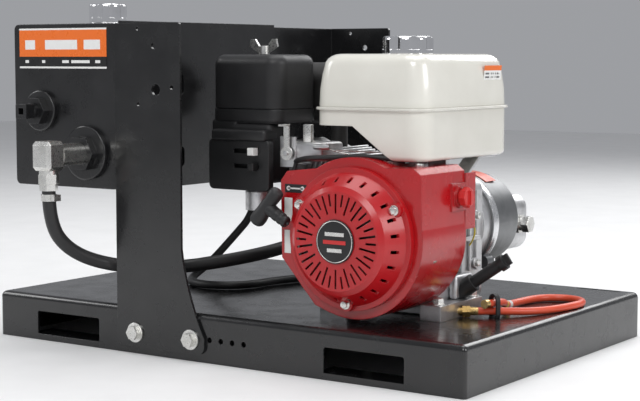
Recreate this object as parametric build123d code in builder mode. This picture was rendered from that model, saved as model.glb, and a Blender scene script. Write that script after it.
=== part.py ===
"""Hydraulic power unit: a petrol engine that drives a gear pump, with an oil tank, on a fork-pocket skid.

Millimetres. X runs along the skid's long side, Y from the front (recoil starter side) to the rear, Z up.
The origin is on the floor, in the middle of the whole unit's footprint box without its hoses.
"""
import math
import os

from build123d import *

os.makedirs("parts", exist_ok=True)

# ---------------------------------------------------------------- driving dimensions

# skid: an upside-down folded tray with fork pockets through its long walls
skid_length = 914.4
skid_depth = 609.6
skid_height = 76.2
skid_sheet = 4.8
skid_bend = 9.0
skid_corner = 6.0
fork_centres = (-299.0, 287.0)
fork_width = 139.7
fork_top = 49.0
fork_corner = 4.0
strap_height = 10.0
strap_depth = 50.0
strap_lap = 15.0
spare_hole_radius = 4.5
spare_hole_pitch = 22.3
spare_hole_count = 4
spare_hole_gap = 7.0
spare_hole_height = 36.6
deck_slot_length = 80.0
deck_slot_width = 7.0
deck_slot_from_edge = 17.0

# oil tank, welded from a wrapped shell and two end plates
tank_left_margin = 44.5
tank_width = 228.0
tank_height = 267.7
tank_floor_gap = 263.5
tank_sheet = 3.2
tank_corner = 9.0

# tank bracket: one U-shaped plate, its legs bolted outside the skid's long walls
bracket_plate = 4.8
leg_width = 134.5
leg_corner = 5.0
leg_flare = 45.0
leg_flare_start = 176.0
leg_flare_end = 38.0
leg_bottom = 12.0
foot_corner = 14.0
web_bottom = 260.0
web_top = 535.5
web_step = 4.3
web_step_depth = 423.0
web_slot_width = 14.0
web_slot_height = 33.0
web_slot_depth = 157.0
web_slot_centres = (309.5, 430.5)
leg_bolt_height = 35.0
leg_bolt_spacing = 114.0
leg_bolt_inset = 39.0
bolt_shank_radius = 6.2
bolt_head_flats = 20.0
bolt_head_height = 8.5
washer_radius = 16.0
washer_thickness = 2.8

# ports in the tank's front plate
return_port_x = -349.5
return_port_z = 388.3
return_ring_radius = 33.8
suction_port_x = -249.0
suction_port_z = 321.0
suction_ring_radius = 44.5
ring_thickness = 9.0
ring_bore_share = 0.62
thread_gap = 0.05
return_hex_flats = 42.0
suction_hex_flats = 52.0
reducer_hex_height = 14.0
plug_collar_radius = 13.0
plug_collar_height = 8.0
plug_square = 24.0
plug_square_height = 20.0
plug_recess = 11.0
elbow_reach = 92.0
elbow_block = 40.0
elbow_height = 47.0
elbow_collar_radius = 18.0
elbow_bore = 12.0
swivel_flats = 29.0
swivel_height = 15.0
swivel_neck = 6.0
tail_flats = 26.0
tail_hex_height = 11.0

# filler on the tank's top
filler_from_front = 107.0
filler_bore = 24.0
filler_flange_radius = 33.0
filler_flange = 3.5
filler_cap_radius = 32.0
filler_cap_height = 32.0
filler_basket_length = 90.0

# hoses
suction_hose_diameter = 22.0
return_hose_diameter = 14.0
drain_hose_diameter = 12.0
hose_arc_share = 0.45

# engine, measured from its crank axis, its recoil cover's front and the deck
crank_from_right = 225.4
engine_setback = 10.0
crank_height = 130.0
foot_length = 131.0
foot_start = 137.0
foot_height = 24.0
foot_right = 100.0
foot_left = 121.0
foot_bolt_across = 195.0
foot_bolt_along = 105.0
foot_bolt_right = 87.0
foot_bolt_start = 153.0
foot_bolt_radius = 4.8
case_front = 176.0
case_cover_start = 300.0
pto_face = 338.0
shroud_front = 46.0
shroud_radius = 122.0
shroud_wall = 2.5
recoil_face_radius = 82.0
recoil_base_radius = 100.0
recoil_flange_radius = 108.0
recoil_wall = 2.5
shaft_radius = 15.0
pto_shaft_radius = 12.7
running_gap = 0.05
wall_gap = 1.0

# bell housing, coupling and gear pump behind the engine
bell_rim_radius = 82.0
bell_rim_length = 21.0
bell_length = 102.0
bell_end_radius = 76.0
bell_wall = 9.0
coupling_radius = 34.0
pump_width = 88.0
pump_height = 94.0
pump_length = 92.0
pump_corner = 24.0
gear_module = 2.6
gear_teeth = 10
gear_width = 34.0

# ---------------------------------------------------------------- places worked out from them

front_reach = elbow_reach + elbow_block / 2
rear_reach = bracket_plate + washer_thickness + bolt_head_height
unit_centre_y = (front_reach - rear_reach) / 2
front_wall_y = unit_centre_y - skid_depth / 2
rear_wall_y = unit_centre_y + skid_depth / 2
left_end = -skid_length / 2
right_end = skid_length / 2
deck_z = skid_height

tank_left = left_end + tank_left_margin
tank_right = tank_left + tank_width
tank_centre_x = (tank_left + tank_right) / 2
tank_top = tank_floor_gap + tank_height
tank_centre_z = tank_floor_gap + tank_height / 2
leg_left = tank_right
leg_right = leg_left + leg_width
foot_bolt_left_x = leg_left + leg_bolt_inset
leg_bolts_x = (foot_bolt_left_x, foot_bolt_left_x + leg_bolt_spacing)

crank_x = right_end - crank_from_right
engine_y = front_wall_y + engine_setback
crank_z = deck_z + crank_height
pump_y = engine_y + pto_face + bell_length
gear_centres = gear_module * gear_teeth
pump_centre_z = crank_z - gear_centres / 2


def behind_front(distance):
    """Y of a place this far behind the skid's front wall."""
    return front_wall_y + distance


def front_plane(y):
    """A sketch plane seen from the front: sketch x is X, sketch y is Z, and a positive extrude comes forward."""
    return Plane(origin=(0, y, 0), x_dir=(1, 0, 0), z_dir=(0, -1, 0))


def right_plane(x):
    """A sketch plane seen from the right end: sketch x is Y, sketch y is Z."""
    return Plane(origin=(x, 0, 0), x_dir=(0, 1, 0), z_dir=(1, 0, 0))


def block(x_from, x_to, y_from, y_to, z_from, z_to, mode=Mode.ADD):
    """A box between two corners, added to the part being built."""
    middle = ((x_from + x_to) / 2, (y_from + y_to) / 2, (z_from + z_to) / 2)
    with Locations(middle):
        Box(x_to - x_from, y_to - y_from, z_to - z_from, mode=mode)


def rod_x(y, z, radius, x_from, x_to, mode=Mode.ADD):
    """A round bar along X."""
    with Locations(((x_from + x_to) / 2, y, z)):
        Cylinder(radius, x_to - x_from, rotation=(0, 90, 0), mode=mode)


def rod_y(x, z, radius, y_from, y_to, mode=Mode.ADD):
    """A round bar along Y."""
    with Locations((x, (y_from + y_to) / 2, z)):
        Cylinder(radius, y_to - y_from, rotation=(90, 0, 0), mode=mode)


def rod_z(x, y, radius, z_from, z_to, mode=Mode.ADD):
    """A round bar along Z."""
    with Locations((x, y, (z_from + z_to) / 2)):
        Cylinder(radius, z_to - z_from, mode=mode)


def save(piece, name):
    """Labels a finished sub-part and writes its STEP file."""
    piece.part.label = name
    export_step(piece.part, f"parts/{name}.step")


# ---------------------------------------------------------------- skid

deck_bolt_places = [
    (crank_x + side, engine_y + foot_bolt_start + along)
    for side in (foot_bolt_right, foot_bolt_right - foot_bolt_across)
    for along in (0, foot_bolt_along)
]

with BuildPart() as skid_tray:
    block(left_end, right_end, front_wall_y, rear_wall_y, 0, skid_height)
    fillet(skid_tray.edges().filter_by(Axis.Z), radius=skid_corner)
    fillet(skid_tray.faces().sort_by(Axis.Z)[-1].edges(), radius=skid_bend)
    offset(amount=-skid_sheet, openings=skid_tray.faces().sort_by(Axis.Z)[0])
    with BuildSketch(front_plane(rear_wall_y + wall_gap)) as fork_cut:
        for centre in fork_centres:
            with Locations((centre, 0)):
                Rectangle(fork_width, 2 * fork_top)
        fillet(fork_cut.vertices(), radius=fork_corner)
    extrude(amount=skid_depth + 2 * wall_gap, mode=Mode.SUBTRACT)
    for number in range(spare_hole_count):
        hole_x = leg_right + leg_flare + spare_hole_gap + number * spare_hole_pitch
        rod_y(hole_x, spare_hole_height, spare_hole_radius, front_wall_y - wall_gap, rear_wall_y + wall_gap,
              mode=Mode.SUBTRACT)
    for bolt_x in leg_bolts_x:
        rod_y(bolt_x, leg_bolt_height, bolt_shank_radius + thread_gap, front_wall_y - wall_gap,
              rear_wall_y + wall_gap, mode=Mode.SUBTRACT)
    for bolt_x, bolt_y in deck_bolt_places:
        rod_z(bolt_x, bolt_y, foot_bolt_radius + thread_gap, deck_z - 2 * skid_sheet, deck_z + wall_gap,
              mode=Mode.SUBTRACT)
    slot_x = right_end - 68.0
    slot_y = rear_wall_y - deck_slot_from_edge
    with BuildSketch(Plane.XY.offset(deck_z - 2 * skid_sheet)):
        with Locations((slot_x, slot_y)):
            SlotOverall(deck_slot_length, deck_slot_width)
    extrude(amount=3 * skid_sheet, mode=Mode.SUBTRACT)
    rod_z(right_end - 154.0, rear_wall_y - 51.0, 3.5, deck_z - 2 * skid_sheet, deck_z + wall_gap,
          mode=Mode.SUBTRACT)
save(skid_tray, "skid_tray")

with BuildPart() as fork_straps:
    for centre in fork_centres:
        half = fork_width / 2
        for side in (1, -1):
            outer = front_wall_y if side == 1 else rear_wall_y
            wall_face = outer + side * skid_sheet
            inner = outer + side * strap_depth
            low, high = sorted((outer, inner))
            block(centre - half, centre + half, low, high, 0, strap_height)
            low, high = sorted((wall_face, inner))
            block(centre - half - strap_lap, centre + half + strap_lap, low, high, 0, strap_height)
save(fork_straps, "fork_straps")

# ---------------------------------------------------------------- tank bracket

with BuildPart() as tank_bracket:
    with BuildSketch(front_plane(front_wall_y)) as leg_outline:
        with BuildLine():
            Polyline(
                (leg_right, leg_flare_start),
                (leg_right, web_top - web_step),
                (leg_left, web_top - web_step),
                (leg_left, leg_bottom),
                (leg_right + leg_flare, leg_bottom),
                (leg_right + leg_flare, leg_flare_end),
            )
            ThreePointArc(
                (leg_right + leg_flare, leg_flare_end),
                (leg_right + 0.32 * leg_flare, (leg_flare_start + leg_flare_end) / 2 + 4),
                (leg_right, leg_flare_start),
            )
        make_face()
        corners = leg_outline.vertices()
        fillet(corners.sort_by_distance((leg_right + leg_flare, leg_bottom))[0], radius=foot_corner)
        fillet(leg_outline.vertices().sort_by_distance((leg_right, web_top))[0], radius=leg_corner)
    extrude(amount=bracket_plate)
    for hole_dx, hole_z, hole_radius in (
        (48.5, 522.0, 3.0),
        (81.5, 494.8, 5.0),
        (85.5, 426.0, 9.0),
        (118.0, 430.0, 3.5),
        (49.0, 402.6, 3.0),
    ):
        rod_y(leg_left + hole_dx, hole_z, hole_radius, front_wall_y - 2 * bracket_plate,
              front_wall_y + bracket_plate, mode=Mode.SUBTRACT)
    for bolt_x in leg_bolts_x:
        rod_y(bolt_x, leg_bolt_height, bolt_shank_radius + thread_gap, front_wall_y - 2 * bracket_plate,
              front_wall_y + bracket_plate, mode=Mode.SUBTRACT)
    mirror(about=Plane.XZ.offset(-unit_centre_y))
    block(leg_left, leg_left + bracket_plate, front_wall_y - bracket_plate, rear_wall_y + bracket_plate,
          web_bottom, web_top - web_step)
    block(leg_left, leg_left + bracket_plate, front_wall_y + leg_corner, behind_front(web_step_depth),
          web_top - 2 * web_step, web_top)
    for slot_z in web_slot_centres:
        for slot_y in (behind_front(web_slot_depth), rear_wall_y - web_slot_depth):
            with BuildSketch(right_plane(leg_left - wall_gap)):
                with Locations((slot_y, slot_z)):
                    SlotOverall(web_slot_height, web_slot_width, rotation=90)
            extrude(amount=bracket_plate + 2 * wall_gap, mode=Mode.SUBTRACT)
save(tank_bracket, "tank_bracket")


def leg_bolt(x, wall_y, outward):
    """A flange bolt through a bracket leg and the skid wall, with its nut inside. outward is -1 at the front."""
    face = wall_y + outward * bracket_plate
    inside = wall_y - outward * skid_sheet
    head = face + outward * washer_thickness
    nut_end = inside - outward * bolt_head_height
    with BuildPart() as bolt:
        low, high = sorted((face, head))
        rod_y(x, leg_bolt_height, washer_radius, low, high)
        low, high = sorted((head, nut_end - outward * 4))
        rod_y(x, leg_bolt_height, bolt_shank_radius, low, high)
        for start, end in ((head, head + outward * bolt_head_height), (inside, nut_end)):
            low, high = sorted((start, end))
            with BuildSketch(front_plane(high)):
                with Locations((x, leg_bolt_height)):
                    RegularPolygon(bolt_head_flats / 2, 6, major_radius=False)
            extrude(amount=high - low)
    return bolt.part


with BuildPart() as bracket_bolts:
    for bolt_x in leg_bolts_x:
        add(leg_bolt(bolt_x, front_wall_y, -1))
        add(leg_bolt(bolt_x, rear_wall_y, 1))
save(bracket_bolts, "bracket_bolts")

# ---------------------------------------------------------------- oil tank

tank_front = front_wall_y
tank_rear = rear_wall_y
filler_y = tank_front + filler_from_front
outlet_x = tank_right - 18.0
outlet_y = tank_rear - 216.0
outlet_radius = 13.0

with BuildPart() as tank_shell:
    with BuildSketch(front_plane(tank_rear - tank_sheet)):
        with Locations((tank_centre_x, tank_centre_z)):
            RectangleRounded(tank_width, tank_height, tank_corner)
            RectangleRounded(tank_width - 2 * tank_sheet, tank_height - 2 * tank_sheet,
                             tank_corner - tank_sheet, mode=Mode.SUBTRACT)
    extrude(amount=skid_depth - 2 * tank_sheet)
    rod_z(tank_centre_x, filler_y, filler_bore + thread_gap, tank_top - 2 * tank_sheet, tank_top + wall_gap,
          mode=Mode.SUBTRACT)
    rod_z(outlet_x, outlet_y, outlet_radius - 2, tank_floor_gap - wall_gap, tank_floor_gap + 2 * tank_sheet,
          mode=Mode.SUBTRACT)
save(tank_shell, "tank_shell")

ports = (
    (return_port_x, return_port_z, return_ring_radius),
    (suction_port_x, suction_port_z, suction_ring_radius),
)

with BuildPart() as tank_front_plate:
    with BuildSketch(front_plane(tank_front + tank_sheet)):
        with Locations((tank_centre_x, tank_centre_z)):
            RectangleRounded(tank_width, tank_height, tank_corner)
        for port_x, port_z, ring in ports:
            with Locations((port_x, port_z)):
                Circle(ring * ring_bore_share, mode=Mode.SUBTRACT)
    extrude(amount=tank_sheet)

with BuildPart() as tank_rear_plate:
    with BuildSketch(front_plane(tank_rear)):
        with Locations((tank_centre_x, tank_centre_z)):
            RectangleRounded(tank_width, tank_height, tank_corner)
    extrude(amount=tank_sheet)

with BuildPart() as tank_end_plates:
    add(tank_front_plate.part)
    add(tank_rear_plate.part)
save(tank_end_plates, "tank_end_plates")

def port_ring(x, z, ring):
    """A weld ring on the tank's front plate, bored for a reducer."""
    with BuildPart() as made:
        rod_y(x, z, ring, tank_front - ring_thickness, tank_front)
        fillet(made.faces().sort_by(Axis.Y)[0].edges(), radius=2.5)
        rod_y(x, z, ring * ring_bore_share, tank_front - 2 * ring_thickness, tank_front + wall_gap,
              mode=Mode.SUBTRACT)
    return made.part


with BuildPart() as port_rings:
    for port_x, port_z, ring in ports:
        add(port_ring(port_x, port_z, ring))
save(port_rings, "port_rings")


def reducer(x, z, ring, flats, bore):
    """A hex reducer bushing screwed into a port ring."""
    face = tank_front - ring_thickness
    with BuildPart() as made:
        rod_y(x, z, ring * ring_bore_share - thread_gap, face, tank_front + 6)
        with BuildSketch(front_plane(face)):
            with Locations((x, z)):
                RegularPolygon(flats / 2, 6, major_radius=False)
        extrude(amount=reducer_hex_height)
        rod_y(x, z, bore, face - 2 * reducer_hex_height, tank_front + 12, mode=Mode.SUBTRACT)
    return made


return_reducer = reducer(return_port_x, return_port_z, return_ring_radius, return_hex_flats, plug_collar_radius - 2)
suction_reducer = reducer(suction_port_x, suction_port_z, suction_ring_radius, suction_hex_flats,
                          elbow_collar_radius - 4)

with BuildPart() as port_reducers:
    add(return_reducer.part)
    add(suction_reducer.part)
save(port_reducers, "port_reducers")

reducer_face = tank_front - ring_thickness - reducer_hex_height

with BuildPart() as return_plug:
    rod_y(return_port_x, return_port_z, plug_collar_radius - 2 - thread_gap, reducer_face, tank_front)
    rod_y(return_port_x, return_port_z, plug_collar_radius, reducer_face - plug_collar_height, reducer_face)
    plug_end = reducer_face - plug_collar_height - plug_square_height
    with BuildSketch(front_plane(reducer_face - plug_collar_height)):
        with Locations((return_port_x, return_port_z)):
            RectangleRounded(plug_square, plug_square, 2)
    extrude(amount=plug_square_height)
    with BuildSketch(front_plane(plug_end + 12)):
        with Locations((return_port_x, return_port_z)):
            RectangleRounded(plug_recess, plug_recess, 1)
    extrude(amount=14, mode=Mode.SUBTRACT)
save(return_plug, "return_plug")

elbow_y = tank_front - elbow_reach
elbow_low = suction_port_z - elbow_height / 2
elbow_high = suction_port_z + elbow_height / 2

with BuildPart() as suction_elbow:
    half_block = elbow_block / 2
    block(suction_port_x - half_block, suction_port_x + half_block, elbow_y - half_block, elbow_y + half_block,
          elbow_low, elbow_high)
    chamfer(suction_elbow.edges(), length=6)
    rod_y(suction_port_x, suction_port_z, elbow_collar_radius, elbow_y + half_block - 1, reducer_face)
    rod_y(suction_port_x, suction_port_z, elbow_collar_radius - 4 - thread_gap, reducer_face - 1, tank_front)
    rod_z(suction_port_x, elbow_y, elbow_bore + 3, elbow_low - swivel_neck, elbow_low + 1)
    rod_z(suction_port_x, elbow_y, elbow_bore - 3, elbow_low - 2 * swivel_neck, suction_port_z, mode=Mode.SUBTRACT)
    rod_y(suction_port_x, suction_port_z, elbow_bore - 1, elbow_y, tank_front + wall_gap, mode=Mode.SUBTRACT)
save(suction_elbow, "suction_elbow")

swivel_top = elbow_low - swivel_neck
swivel_bottom = swivel_top - swivel_height

with BuildPart() as swivel_nut:
    with BuildSketch(Plane.XY.offset(swivel_bottom)):
        with Locations((suction_port_x, elbow_y)):
            RegularPolygon(swivel_flats / 2, 6, major_radius=False)
    extrude(amount=swivel_height)
    rod_z(suction_port_x, elbow_y, elbow_bore - 3, swivel_bottom - wall_gap, swivel_top + wall_gap,
          mode=Mode.SUBTRACT)

hose_start_z = swivel_bottom - tail_hex_height
hose_bore_radius = suction_hose_diameter / 2 - 3.5

with BuildPart() as hose_tail:
    with BuildSketch(Plane.XY.offset(hose_start_z)):
        with Locations((suction_port_x, elbow_y)):
            RegularPolygon(tail_flats / 2, 6, major_radius=False)
    extrude(amount=tail_hex_height)
    rod_z(suction_port_x, elbow_y, elbow_bore - 3 - thread_gap, swivel_bottom, swivel_bottom + swivel_height - 3)
    rod_z(suction_port_x, elbow_y, hose_bore_radius - 2, hose_start_z - wall_gap, swivel_top + wall_gap,
          mode=Mode.SUBTRACT)

with BuildPart() as suction_hose_fitting:
    add(swivel_nut.part)
    add(hose_tail.part)
save(suction_hose_fitting, "suction_hose_fitting")

with BuildPart() as suction_strainer:
    strainer_front = tank_front + 6
    rod_y(suction_port_x, suction_port_z, 18, strainer_front, strainer_front + 12)
    rod_y(suction_port_x, suction_port_z, 28, strainer_front + 12, strainer_front + 130)
    rod_y(suction_port_x, suction_port_z, 13, strainer_front - wall_gap, strainer_front + 120,
          mode=Mode.SUBTRACT)
save(suction_strainer, "suction_strainer")

with BuildPart() as filler_neck:
    rod_z(tank_centre_x, filler_y, filler_flange_radius, tank_top, tank_top + filler_flange)
    rod_z(tank_centre_x, filler_y, filler_bore, tank_top - filler_basket_length, tank_top + filler_flange)
    rod_z(tank_centre_x, filler_y, filler_bore - 2, tank_top - filler_basket_length + 2,
          tank_top + filler_flange + wall_gap, mode=Mode.SUBTRACT)
save(filler_neck, "filler_neck")

filler_cap_z = tank_top + filler_flange + 0.3

with BuildPart() as filler_cap:
    rod_z(tank_centre_x, filler_y, filler_cap_radius, filler_cap_z, filler_cap_z + filler_cap_height)
    fillet(filler_cap.faces().sort_by(Axis.Z)[-1].edges(), radius=5)
    for index in range(10):
        angle = math.radians(36 * index)
        rod_z(tank_centre_x + (filler_cap_radius + 5) * math.cos(angle),
              filler_y + (filler_cap_radius + 5) * math.sin(angle), 7,
              filler_cap_z + 8, filler_cap_z + filler_cap_height + 1, mode=Mode.SUBTRACT)
    rod_z(tank_centre_x, filler_y, filler_cap_radius - 4, filler_cap_z - 1, filler_cap_z + filler_cap_height - 6,
          mode=Mode.SUBTRACT)
save(filler_cap, "filler_cap")

# ---------------------------------------------------------------- engine sizes, from the crank axis and the deck

crank_throw = 32.0
bore_radius = 44.0
bore_slope = 25.0
bore_from_front = 237.0
rod_length = 110.0
piston_length = 50.0
case_half_width = 74.0
case_bottom = 10.0
case_top = 208.0
case_wall = 7.0
case_corner = 20.0
fin_radius = 62.0
fin_thickness = 2.6
fin_pitch = 7.4
fin_start = 108.0
barrel_end = 176.0
head_end = 215.0
rocker_end = 245.0
head_size = 104.0
rocker_width = 96.0
rocker_height = 74.0

fuel_tank_left = -95.0
fuel_tank_right = 105.0
fuel_tank_front = 75.0
fuel_tank_rear = 352.0
fuel_tank_seam = 323.0
fuel_tank_top = 406.0
fuel_tank_low_left = 297.0
fuel_tank_low_right = 246.0
fuel_tank_corner = 32.0
fuel_tank_crown = 20.0
fuel_tank_flange = 5.0
fuel_tank_sheet = 1.5
fuel_cap_radius = 40.0
fuel_cap_height = 27.0
fuel_cap_place = (8.0, 190.0)

cleaner_left = -307.0
cleaner_right = -168.0
cleaner_front = 90.0
cleaner_rear = 204.0
cleaner_base_bottom = 296.0
cleaner_seam = 319.5
cleaner_top = 405.0
cleaner_corner = 26.0
wing_nut_place = (-238.0, 147.0)

control_left = -301.0
control_right = -180.0
control_front = 80.0
control_depth = 12.0
control_bottom = 189.0
control_top = 271.0
lever_travel = 34.0
lever_grip = 12.0
lever_play = 4.0
switch_radius = 15.5

rope_exit = (-96.5, 20.0, 147.0)
rope_radius = 2.3
grip_centre = (-139.7, 20.0, 173.0)
grip_length = 68.0
grip_radius = 11.5
grip_lean = 40.0
grip_end_round = 8.0
grip_stem_radius = 10.0
grip_stem_tip = 8.5
grip_stem_gap = 4.5

wing_reach = 28.0
wing_rise = 25.0
wing_foot = 13.0
wing_thick = 3.6
wing_hub_radius = 9.0
wing_hub_height = 14.0

drain_start = (96.0, 195.0)
drain_end = (123.0, 213.0)
drain_z = 9.5


def at_engine(x, y, z):
    """A place given from the crank axis (x), the recoil cover's front (y) and the deck (z)."""
    return (crank_x + x, engine_y + y, deck_z + z)


def engine_block(x_from, x_to, y_from, y_to, z_from, z_to, mode=Mode.ADD):
    """A box given in engine sizes."""
    low = at_engine(x_from, y_from, z_from)
    high = at_engine(x_to, y_to, z_to)
    block(low[0], high[0], low[1], high[1], low[2], high[2], mode=mode)


def crank_rod(radius, y_from, y_to, mode=Mode.ADD):
    """A round bar on the crank axis, given in engine sizes."""
    rod_y(crank_x, crank_z, radius, engine_y + y_from, engine_y + y_to, mode=mode)


bore_angle = math.radians(bore_slope)
bore_plane = Plane(
    origin=(crank_x, engine_y + bore_from_front, crank_z),
    x_dir=(0, -1, 0),
    z_dir=(-math.cos(bore_angle), 0, math.sin(bore_angle)),
)

with BuildPart(bore_plane) as barrel:
    with Locations((0, 0, (barrel_end + case_half_width / 2) / 2)):
        Cylinder(bore_radius + case_wall, barrel_end - case_half_width / 2)
    fin_count = int((barrel_end - fin_start) / fin_pitch) + 1
    for number in range(fin_count):
        with Locations((0, 0, fin_start + number * fin_pitch)):
            Box(2 * fin_radius, 2 * fin_radius - 12, fin_thickness)

with BuildPart() as crankcase:
    with BuildSketch(front_plane(engine_y + case_cover_start)):
        with Locations((crank_x, deck_z + (case_bottom + case_top) / 2)):
            RectangleRounded(2 * case_half_width, case_top - case_bottom, case_corner)
    extrude(amount=case_cover_start - case_front)
    add(barrel.part)
    with BuildSketch(front_plane(engine_y + case_cover_start)):
        with Locations((crank_x, deck_z + (case_bottom + case_top) / 2)):
            RectangleRounded(2 * (case_half_width - case_wall), case_top - case_bottom - 2 * case_wall,
                             case_corner - case_wall)
    extrude(amount=case_cover_start - case_front - 2 * case_wall, mode=Mode.SUBTRACT)
    for side_from, side_to in ((64.0, foot_right), (-foot_left, -70.0)):
        engine_block(side_from, side_to, foot_start, foot_start + foot_length, 0, foot_height)
    engine_block(-foot_left, foot_right, case_front, foot_start + foot_length, 2, case_bottom + case_wall)
    for bolt_x, bolt_y in deck_bolt_places:
        rod_z(bolt_x, bolt_y, foot_bolt_radius + thread_gap, deck_z - wall_gap, deck_z + foot_height + wall_gap,
              mode=Mode.SUBTRACT)
    with Locations(Location(bore_plane)):
        with Locations((0, 0, (barrel_end + case_half_width / 2) / 2)):
            Cylinder(bore_radius + running_gap, barrel_end - case_half_width / 2 + 2 * wall_gap,
                     mode=Mode.SUBTRACT)
    crank_rod(shaft_radius + running_gap, case_front - wall_gap, case_front + 3 * case_wall, mode=Mode.SUBTRACT)
save(crankcase, "crankcase")

with BuildPart() as crankcase_cover:
    with BuildSketch(front_plane(engine_y + case_cover_start + 14)):
        with Locations((crank_x, deck_z + (case_bottom + case_top) / 2)):
            RectangleRounded(2 * case_half_width, case_top - case_bottom, case_corner)
    extrude(amount=14)
    crank_rod(bell_rim_radius - 4, case_cover_start + 14, pto_face)
    crank_rod(shaft_radius + running_gap, case_cover_start - wall_gap, pto_face + wall_gap, mode=Mode.SUBTRACT)
save(crankcase_cover, "crankcase_cover")

pin_x = crank_x + crank_throw * math.sin(bore_angle)
pin_z = crank_z + crank_throw * math.cos(bore_angle)
web_radius = crank_throw + 18.0

with BuildPart() as crankshaft:
    crank_rod(shaft_radius, 84, 202)
    crank_rod(shaft_radius, 278, pto_face - 2)
    crank_rod(pto_shaft_radius, pto_face - 2, pto_face + 47)
    crank_rod(web_radius, 202, 216)
    crank_rod(web_radius, 264, 278)
    rod_y(pin_x, pin_z, 16, engine_y + 215, engine_y + 265)
save(crankshaft, "crankshaft")

with BuildPart(bore_plane) as piston:
    with Locations((0, 0, rod_length + piston_length / 2 - 18)):
        Cylinder(bore_radius - running_gap, piston_length)
    with Locations((0, 0, rod_length + piston_length / 2 - 26)):
        Cylinder(bore_radius - 5, piston_length, mode=Mode.SUBTRACT)
    with Locations((0, 0, rod_length)):
        Cylinder(9, 2 * bore_radius - 6, rotation=(0, 90, 0))
save(piston, "piston")

with BuildPart(bore_plane) as cylinder_head:
    with Locations((0, 0, (barrel_end + head_end) / 2)):
        Box(head_size, head_size - 14, head_end - barrel_end)
    fillet(cylinder_head.edges().filter_by(Axis(bore_plane.origin, bore_plane.z_dir)), radius=10)
    for number in range(3):
        with Locations((0, 0, barrel_end + 9 + number * 9)):
            Box(head_size + 2, head_size, 4, mode=Mode.SUBTRACT)
        with Locations((0, 0, barrel_end + 9 + number * 9)):
            Box(head_size - 22, head_size - 34, 6)
    with Locations((0, 0, barrel_end)):
        Cylinder(bore_radius - 6, 16, mode=Mode.SUBTRACT)
save(cylinder_head, "cylinder_head")

with BuildPart(bore_plane) as rocker_cover:
    with Locations((0, 0, (head_end + rocker_end) / 2)):
        Box(rocker_width, rocker_height, rocker_end - head_end)
    fillet(rocker_cover.edges().filter_by(Axis(bore_plane.origin, bore_plane.z_dir)), radius=14)
    with Locations((0, 0, head_end + 2)):
        Box(rocker_width + 8, rocker_height + 6, 4)
    with Locations((0, 0, (head_end + rocker_end) / 2 - 4)):
        Box(rocker_width - 12, rocker_height - 12, rocker_end - head_end, mode=Mode.SUBTRACT)
save(rocker_cover, "rocker_cover")

with BuildPart(bore_plane) as spark_plug:
    with Locations((62, -6, barrel_end + 20)):
        Cylinder(10, 20, rotation=(0, 90, 0))
    with Locations((80, -6, barrel_end + 20)):
        Cylinder(13, 24, rotation=(0, 90, 0))
save(spark_plug, "spark_plug")

flywheel_radius = 98.0
blade_count = 20

with BuildPart() as flywheel:
    crank_rod(flywheel_radius, 125, 146)
    crank_rod(44, 84, 125)
    crank_rod(38, 83, 108, mode=Mode.SUBTRACT)
    for number in range(blade_count):
        with Locations(Location((crank_x, engine_y + 112, crank_z), (0, 360 / blade_count * number, 0))):
            with Locations((72, 0, 0)):
                Box(46, 28, 3)
    crank_rod(shaft_radius, 80, 150, mode=Mode.SUBTRACT)
save(flywheel, "flywheel")

# ---------------------------------------------------------------- recoil starter

recoil_bolt_angles = (30, 150, 270)
recoil_bolt_circle = 97.0
recoil_depth = shroud_front - 10
slot_count = 36

with BuildPart() as recoil_housing:
    with BuildSketch(Plane(origin=(crank_x, engine_y, crank_z), x_dir=(1, 0, 0), z_dir=(0, 0, 1))):
        with BuildLine():
            Polyline(
                (0, 0),
                (recoil_face_radius - 8, 0),
                (recoil_face_radius, 6),
                (recoil_base_radius, recoil_depth),
                (recoil_flange_radius, recoil_depth),
                (recoil_flange_radius, shroud_front),
                (recoil_base_radius - recoil_wall, shroud_front),
                (recoil_face_radius - recoil_wall, 8),
                (recoil_face_radius - 9, recoil_wall),
                (0, recoil_wall),
                close=True,
            )
        make_face()
    revolve(axis=Axis((crank_x, engine_y, crank_z), (0, 1, 0)))
    for angle in recoil_bolt_angles:
        lug_x = crank_x + recoil_bolt_circle * math.cos(math.radians(angle))
        lug_z = crank_z + recoil_bolt_circle * math.sin(math.radians(angle))
        rod_y(lug_x, lug_z, 11, engine_y + recoil_depth - 8, engine_y + shroud_front)
    crank_rod(recoil_base_radius - recoil_wall - 8, 20, shroud_front + wall_gap, mode=Mode.SUBTRACT)
    for number in range(slot_count):
        inner_share = 0.51 if number % 2 else 0.64
        slot_start = inner_share * recoil_face_radius
        slot_end = 0.86 * recoil_face_radius
        place = Location((crank_x, engine_y + 1, crank_z), (0, 360 / slot_count * number, 0))
        with Locations(place):
            with Locations(((slot_start + slot_end) / 2, 0, 0)):
                Box(slot_end - slot_start, 4 * recoil_wall, 3.2, mode=Mode.SUBTRACT)
    for number in range(24):
        place = Location((crank_x, engine_y + 21, crank_z), (0, 360 / 24 * (number + 0.5), 0))
        if 120 < 360 / 24 * (number + 0.5) < 240:
            continue
        with Locations(place):
            with Locations((recoil_face_radius + 9, 0, 0)):
                Box(26, 12, 5, mode=Mode.SUBTRACT)
    crank_rod(21, recoil_wall, 18)
    exit_place = at_engine(*rope_exit)
    with Locations(exit_place):
        Sphere(5.5, mode=Mode.SUBTRACT)
    rod_x(exit_place[1], exit_place[2], 3.6, exit_place[0] - 6, exit_place[0] + 30, mode=Mode.SUBTRACT)
save(recoil_housing, "recoil_housing")

with BuildPart() as starter_reel:
    crank_rod(68, 9, 12)
    crank_rod(62, 12, 24)
    crank_rod(68, 24, 28)
    crank_rod(34, 28, 42)
    crank_rod(21 + running_gap, 8, 43, mode=Mode.SUBTRACT)
save(starter_reel, "starter_reel")

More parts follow.
